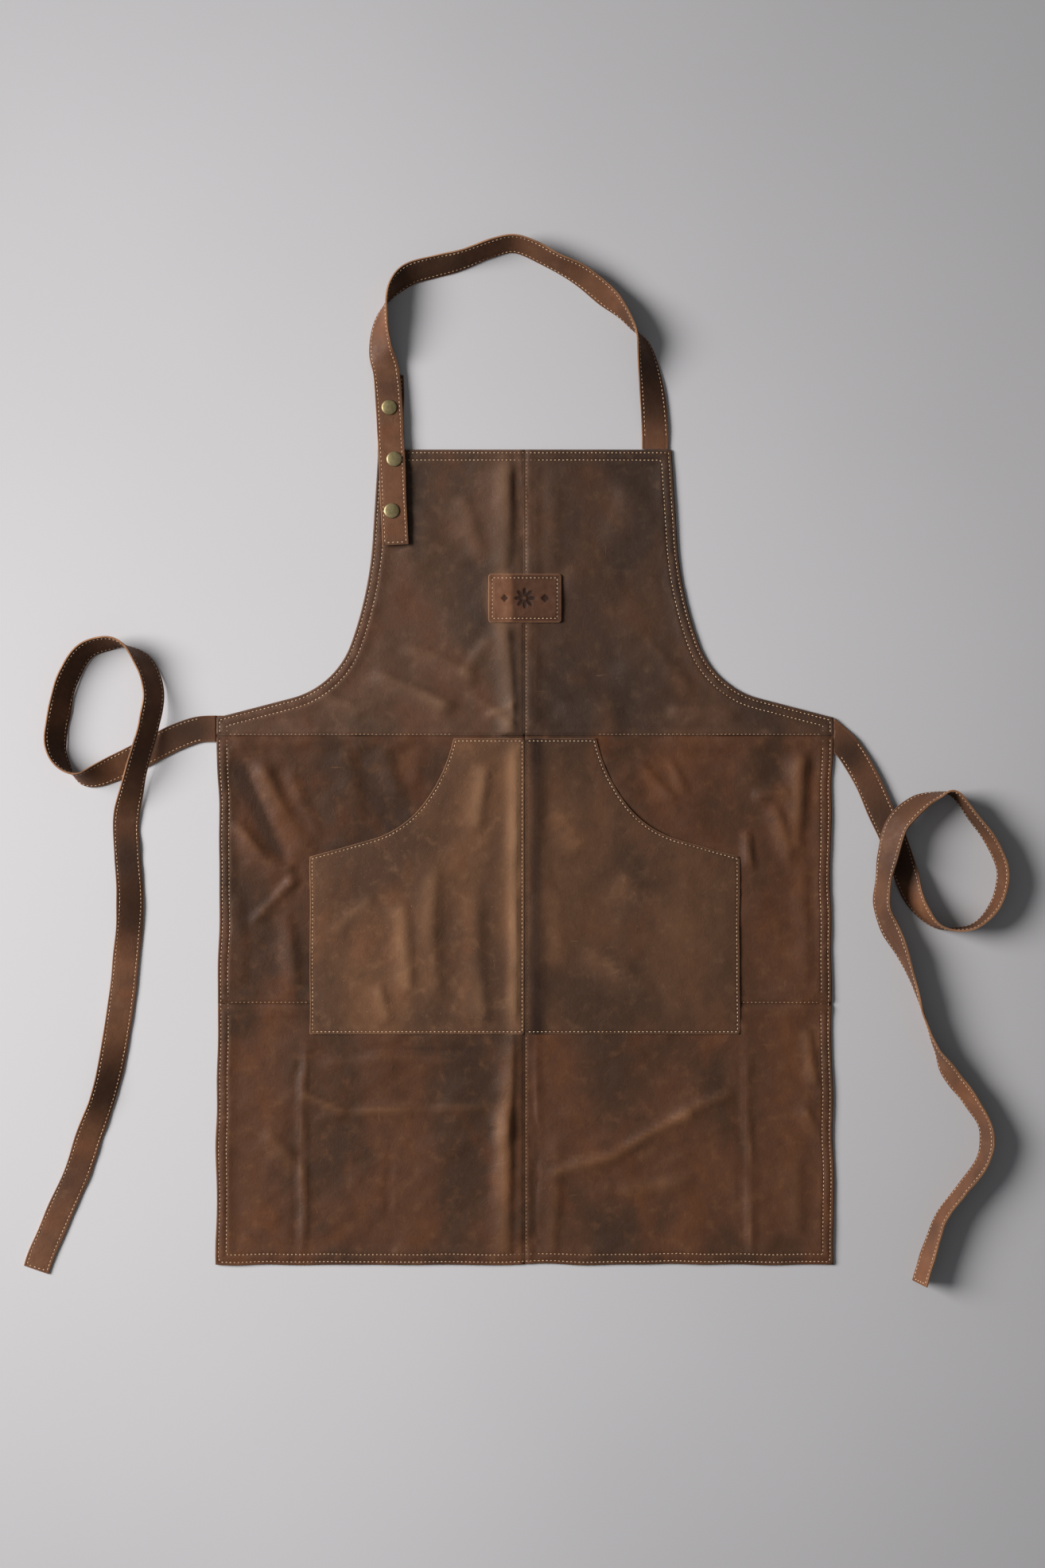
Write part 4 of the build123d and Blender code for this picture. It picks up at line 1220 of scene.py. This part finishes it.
def strap_frames(stations):
    """Centres, across and outward directions and lengths so far of a strap, evenly spaced along it."""
    end = len(stations) - 1
    dense = np.linspace(0, end, end * 24)
    rough = np.array([between(stations, place)[:2] for place in dense]) * MM
    steps = np.linalg.norm(np.diff(rough, axis=0), axis=1)
    run = np.concatenate([[0], np.cumsum(steps)])
    runs = np.linspace(0, run[-1], round(run[-1] / STRAP_STEP) + 1)
    places = np.interp(runs, run, dense)
    centres, across, out = [], [], []
    nudge = 0.02
    for place in places:
        x, y, roll, lift = between(stations, place)
        before = between(stations, max(0, place - nudge))
        after = between(stations, min(end, place + nudge))
        travel = np.array([after[0] - before[0], after[1] - before[1], 0.0])
        travel /= np.linalg.norm(travel)
        left = np.cross([0, 0, 1], travel)
        turn = radians(roll)
        normal = np.array([0, 0, 1]) * cos(turn) + left * sin(turn)
        rest = STRAP_WIDTH / 2 * abs(sin(turn)) + PLY * abs(cos(turn))
        centres.append((x * MM, y * MM, lift * MM + rest))
        across.append(np.cross(normal, travel))
        out.append(normal)
    return np.array(centres), np.array(across), np.array(out), runs


def slice_frames(frames, chosen):
    """The part of a strap's frames from the first to the last chosen one."""
    indices = np.flatnonzero(chosen)
    return tuple(values[indices[0] : indices[-1] + 1] for values in frames)


GROOVE = 0.86  # height of a strap's face in the groove of its stitches, in plies


def strap_profile():
    """Closed cross-section of a two-ply strap as (across, out, kind): 0 face, 1 lining, 2 raw edge."""
    half = STRAP_WIDTH / 2
    row = half - EDGE_ROW
    face = [
        (half - 0.3 * MM, 0.90), (half - 0.9 * MM, 0.99), (row + 0.7 * MM, 1.0), (row, GROOVE),
        (row - 0.8 * MM, 1.02), (row - 3 * MM, 1.08), (row - 6 * MM, 1.11),
    ]
    top = [(-a, h * PLY, 0) for a, h in face] + [(0, 1.12 * PLY, 0)]
    top += [(a, h * PLY, 0) for a, h in reversed(face)]
    edge = [
        (half - 0.02 * MM, 0.74 * PLY, 2), (half, 0.2 * PLY, 2), (half - 0.4 * MM, 0, 2),
        (half, -0.2 * PLY, 2), (half - 0.02 * MM, -0.74 * PLY, 2),
    ]
    bottom = [(a, -h, 1) for a, h, _ in reversed(top)]
    far = [(-a, h, kind) for a, h, kind in reversed(edge)]
    return top + edge + bottom + far


# Painted shade on the straps, where they roll away from the light or lie in shadow: x, y and reach in
# millimetres, and how much darker
STRAP_SHADE_SPOTS = (
    (-392, -120, 36, 0.8), (-388, -180, 32, 0.6), (-412, -345, 36, 0.5), (-326, 6, 30, 0.7),
    (-378, -20, 24, 0.45), (320, -18, 26, 0.75), (350, -70, 34, 0.6), (371, -128, 26, 0.6),
    (126, 340, 44, 0.5),
)


def painted_strap_shade(x, y):
    """How much painted shade darkens a strap at a place."""
    return sum(
        amount * float(bell(hypot(x - across * MM, y - up * MM), reach * MM))
        for across, up, reach, amount in STRAP_SHADE_SPOTS
    )


def strap(name, frames, seed):
    """A two-ply strap swept along its frames, with slightly uneven edges."""
    centres, across, out, run = frames
    loop = strap_profile()
    size = len(loop)
    still = np.zeros(len(run))
    wander = 0.22 * MM * swell(run, still, 45 * MM, seed)
    spread = 1 + 0.010 * swell(run, still, 60 * MM, seed + 1)
    buckle = 0.16 * MM * swell(run, still, 30 * MM, seed + 2)
    vertices, tones, rest = [], [], []
    half = STRAP_WIDTH / 2
    for index in range(len(centres)):
        for a, h, kind in loop:
            ripple = buckle[index] * (a / half) ** 2 * (1 if a > 0 else -1)
            point = centres[index] + across[index] * (a * spread[index] + wander[index])
            point = point + out[index] * (h + ripple)
            vertices.append((point[0], point[1], max(point[2], FLOOR_CLEAR)))
            worn = 0.3 * float(bell(half - abs(a), 0.8 * MM)) if kind == 0 else 0.0
            # Pale rubbed edges on the face, less the painted shade where the strap rolls away from the
            # light
            tones.append(worn - painted_strap_shade(point[0], point[1]))
            rest.append((seed + run[index], a, h))
    faces = ring_faces(0, len(centres), size, outward=True)
    around = [max(loop[k][2], loop[(k + 1) % size][2]) for k in range(size)]
    kinds = around * (len(centres) - 1)
    # The ends have points of their own, so that their edges stay crisp
    for index, order in ((0, range(size)), (len(centres) - 1, range(size - 1, -1, -1))):
        first = len(vertices)
        own = [index * size + k for k in order]
        vertices += [vertices[k] for k in own]
        tones += [0.0] * size
        rest += [rest[k] for k in own]
        faces.append(tuple(range(first, first + size)))
        kinds.append(2)
    return make_object(
        name, np.array(vertices), faces, [STRAP, LINING, RAW_EDGE], kinds, np.array(tones),
        np.array(rest),
    )


def strap_rows(frames, skip_start, skip_end, cross_end):
    """Stitch rows on both faces of a strap: along each edge and, where asked, across its end."""
    centres, across, out, _ = frames
    stop = len(centres) - skip_end
    end = stop - 1
    reach = STRAP_WIDTH / 2 - EDGE_ROW
    rows = []
    for face in (1, -1):
        for edge in (-1, 1):
            line = centres + across * edge * reach + out * face * GROOVE * PLY
            rows.append((line[skip_start:stop], (out * face)[skip_start:stop]))
        if cross_end:
            shares = np.linspace(-1, 1, 9)[:, None] * reach * 0.86
            line = centres[end] + out[end] * face * PLY + across[end] * shares
            rows.append((line, np.tile(out[end] * face, (9, 1))))
    return rows


def sew(band, rows, threads, thread_name):
    """Adds a strap's stitches, and bakes the transforms of both into their meshes."""
    thread = stitches(thread_name, rows, threads)
    for piece in (band, thread):
        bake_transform(piece)


def cut_at(thing, side):
    """Trims a tie's mesh off along the body's edge, leaving a closed slanting end."""
    mesh = bmesh.new()
    mesh.from_mesh(thing.data)
    cut = bmesh.ops.bisect_plane(
        mesh, geom=mesh.verts[:] + mesh.edges[:] + mesh.faces[:],
        plane_co=(side * (HALF_WIDTH + FOLD_GAP), 0, 0), plane_no=(side, 0, 0), clear_inner=True,
    )
    rim = [item for item in cut["geom_cut"] if isinstance(item, bmesh.types.BMEdge)]
    bmesh.ops.holes_fill(mesh, edges=rim)
    mesh.to_mesh(thing.data)
    mesh.free()


def tongue(name, node):
    """The single ply of a strap that is sewn under a panel."""
    low, high = corners(node)
    outline = box_outline(low, high)
    edge = np.array(outline)
    piece = sheet(
        name, outline, 1, TONGUE_RINGS, level(high[2]), level(low[2]),
        lambda points: np.zeros(len(points)), [STRAP, LINING, RAW_EDGE],
        raw_edged(lambda x, y: distance(np.column_stack([x, y]), edge), 0.3 * MM), level(0.0),
    )
    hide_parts(node)
    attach(piece, "bib")


def ties():
    """Both waist ties, each cut off at the body's edge."""
    for hand, side, path in (("left", -1, TIE_LEFT_PATH), ("right", 1, TIE_RIGHT_PATH)):
        frames = strap_frames(path)
        band = strap(f"tie_{hand}_strap", frames, 5 + side)
        cut_at(band, side)
        first = int(np.argmax(np.abs(frames[0][:, 0]) > HALF_WIDTH + 14 * MM))
        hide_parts(f"tie_{hand}_face", f"tie_{hand}_lining")
        sew(
            band, strap_rows(frames, first, 1, cross_end=True), [f"tie_{hand}_thread"],
            f"tie_{hand}_stitches",
        )
        tongue(f"tie_{hand}_tongue", f"tie_{hand}_root")


def neck_strap():
    """The neck strap in three pieces that meet end to end, each crossing one joint."""
    whole = strap_frames(NECK_PATH)
    x, y = whole[0][:, 0], whole[0][:, 1]
    root = (x > 0) & (y < ROOT_SPLIT)
    tail = (x < 0) & (y < TAIL_SPLIT)
    loop = ~root & ~tail
    loop[np.flatnonzero(root)[-1]] = True
    loop[np.flatnonzero(tail)[0]] = True
    spans = (
        ("root", root, ("bib", "neck_tab"), TOP_BEND, (), ()),
        (
            "loop", loop, ("neck_tab", "neck_strap"), ((122 * MM, 0, 0), (-100 * MM, 0, 0)),
            ("neck_strap_face", "neck_strap_lining"), ("neck_strap_thread",),
        ),
        (
            "tail", tail, ("neck_strap", "strap_tail"),
            ((0, BIB_TOP + 8 * MM, 0), (0, BIB_TOP - 8 * MM, 0)),
            ("neck_strap_tail_face", "neck_strap_tail_lining"), ("neck_strap_tail_thread",),
        ),
    )
    for part, chosen, bodies, bend, leathers, threads in spans:
        frames = slice_frames(whole, chosen)
        band = strap(f"neck_strap_{part}_band", frames, 20)
        if leathers:
            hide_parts(*leathers)
        ends = part == "tail"
        rows = strap_rows(frames, 5 if part == "root" else 0, int(ends), cross_end=ends)
        sew(band, rows, threads, f"neck_strap_{part}_stitches")
    tongue("neck_strap_tongue", "neck_strap_root")


def neck_tab():
    """The tab behind the strap's left leg, which carries the snap's stud."""
    middle = (tab_low[0] + tab_high[0]) / 2 / MM
    low, high = tab_low[1] / MM, tab_high[1] / MM
    lift = corners("neck_tab_lining")[0][2] / MM
    path = [(middle, low + share * (high - low), 0, lift) for share in (0, 0.3, 0.7, 1)]
    frames = strap_frames(path)
    band = strap("neck_tab_band", frames, 30)
    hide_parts("neck_tab_face", "neck_tab_lining")
    rows = strap_rows(frames, 2, 1, cross_end=True)
    sew(band, rows, ["neck_tab_thread"], "neck_tab_stitches")
    tongue("neck_tab_tongue", "neck_tab_root")


# ---- snaps

CAP_SEGMENTS = 64


def cap_outline(radius, height):
    """Radius and height of a snap cap from its crown to its underside: dome, groove and rolled rim."""
    dome = [
        (radius * share, height * (1 - 0.30 * share**2))
        for share in (0, 0.12, 0.24, 0.36, 0.48, 0.6, 0.7, 0.78, 0.84)
    ]
    rim = [
        (0.875, 0.73), (0.91, 0.72), (0.95, 0.66), (0.985, 0.54), (1.0, 0.38), (0.99, 0.16),
        (0.96, 0.04), (0.92, 0.01), (0.6, 0.01),
    ]
    return dome + [(radius * share, height * rise) for share, rise in rim]


def snap_caps():
    """Domed caps on the strap's face, one over the stud and two spare ones below it."""
    top_low, top_high = corners("snap_cap_upper")
    radius = (top_high[0] - top_low[0]) / 2
    base = LEG_BASE + 2.1 * PLY
    for name, body in (("upper", "neck_strap"), ("lower", "strap_tail")):
        node = f"snap_cap_{name}"
        low, high = corners(node)
        (_, crown_height), *outline = cap_outline(radius, high[2] - base)
        places = [(high + low)[:2] / 2]
        if high[1] - low[1] > 3 * radius:
            places = [high[:2] - radius, low[:2] + radius]
        vertices, faces = [], []
        for x, y in places:
            crown = len(vertices)
            vertices.append((x, y, base + crown_height))
            for reach, height in outline:
                for step in range(CAP_SEGMENTS):
                    angle = 2 * pi * step / CAP_SEGMENTS
                    vertices.append((x + reach * cos(angle), y + reach * sin(angle), base + height))
            first, last = crown + 1, len(vertices) - CAP_SEGMENTS
            for step in range(CAP_SEGMENTS):
                faces.append((crown, first + step, first + (step + 1) % CAP_SEGMENTS))
            faces += ring_faces(first, len(outline), CAP_SEGMENTS, outward=True)
            faces.append(tuple(range(len(vertices) - 1, last - 1, -1)))
        cap = make_object(f"{node}_dome", np.array(vertices), faces, [BRASS])
        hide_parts(node)
        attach(cap, body)


def hidden_metal():
    """Gives the snap parts under the strap, kept from the CAD, their metals."""
    for node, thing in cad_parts.items():
        if not node.startswith("snap_") or thing.hide_render:
            continue
        metal_for = STEEL if "spring" in node else BRASS_HIDDEN
        thing.data.materials.clear()
        thing.data.materials.append(metal_for)


# ---- floor, light and camera

FLOOR_REACH = 3.6
FLOOR_SIDES = 96
PAINTED_LIGHT_CENTRE = (-0.35, -0.2, 0)  # centre of the pool of light painted on the paper
LAMP_PLACE = (-4.7, 0.9, 3.0)
LAMP_SIZE = 3.2
LAMP_POWER = 530
FILL = 0.15  # strength of the even light from all round
WALL = 0.26  # how bright that light's source looks to the camera
EYE = (-0.0024, -0.0476, 3.0)
VIEW_HEIGHT = 1.551  # how much of the floor the picture's long side shows
SENSOR = 36


def floor():
    """Plain pale paper with a painted pool of light: lightest to the left of the apron and painted greyer
    away from it.
    """
    shader = Shader("paper_floor")
    place = shader.node("ShaderNodeTexCoord", "Object")
    cloud = shader.noise(place, 1.3, 3, 0.5)
    tooth = shader.noise(place, 500, 3, 0.6)
    # Painted light: the paper greys with distance from the pool's centre, broken up by soft clouds
    away = shader.node(
        "ShaderNodeVectorMath", "Value", {"operation": "DISTANCE"}, in0=place, in1=PAINTED_LIGHT_CENTRE,
    )
    away = shader.maths("ADD", away, shader.window(cloud, 0.3, 0.7, 0, 0.12))
    base = shader.over(colour(205, 203, 205), colour(164, 163, 165), away, 0.2, 1.5)
    material = shader.finish(
        Base_Color=base, Roughness=0.85, Specular_IOR_Level=0.2,
        Normal=shader.bump(tooth, 0.12, 0.2 * MM),
    )
    turns = np.arange(FLOOR_SIDES) * 2 * pi / FLOOR_SIDES
    rim = np.column_stack([np.cos(turns), np.sin(turns), 0 * turns]) * FLOOR_REACH
    ground = make_object("paper_floor", rim, [tuple(range(FLOOR_SIDES))], [material])
    ground.location.z = -0.2 * MM


def window_light():
    """One large soft lamp, low on the left like a window."""
    data = bpy.data.lights.new("window", "AREA")
    data.shape = "DISK"
    data.size = LAMP_SIZE
    data.energy = LAMP_POWER
    data.color = (1.0, 0.99, 0.98)
    lamp = bpy.data.objects.new("window", data)
    bpy.context.scene.collection.objects.link(lamp)
    lamp.location = LAMP_PLACE
    direction = Vector((-0.1, -0.1, 0)) - lamp.location
    lamp.rotation_euler = direction.to_track_quat("-Z", "Y").to_euler()


def lighting():
    """A dim even fill, which the camera sees as a pale wall, and the window."""
    world = bpy.data.worlds.new("studio")
    bpy.context.scene.world = world
    world.use_nodes = True
    nodes, links = world.node_tree.nodes, world.node_tree.links
    sky = nodes["Background"]
    sky.inputs["Color"].default_value = (0.96, 0.98, 1.0, 1)
    path = nodes.new("ShaderNodeLightPath")
    seen = nodes.new("ShaderNodeMapRange")
    seen.inputs["To Min"].default_value = FILL
    seen.inputs["To Max"].default_value = WALL
    links.new(path.outputs["Is Camera Ray"], seen.inputs["Value"])
    links.new(seen.outputs["Result"], sky.inputs["Strength"])
    window_light()
    bpy.context.scene.view_settings.view_transform = "Standard"


def camera():
    """Straight above the apron, with its whole length and both ties in the frame."""
    data = bpy.data.cameras.new("camera")
    eye = bpy.data.objects.new("camera", data)
    bpy.context.scene.collection.objects.link(eye)
    data.sensor_width = SENSOR
    data.lens = SENSOR * EYE[2] / VIEW_HEIGHT
    eye.location = EYE
    bpy.context.scene.camera = eye


body_panels()
waist_tape()
pocket()
patch()
body_stitches()
pocket_stitches()
patch_stitches()
neck_strap()
neck_tab()
ties()
snap_caps()
hidden_metal()
floor()
lighting()
camera()
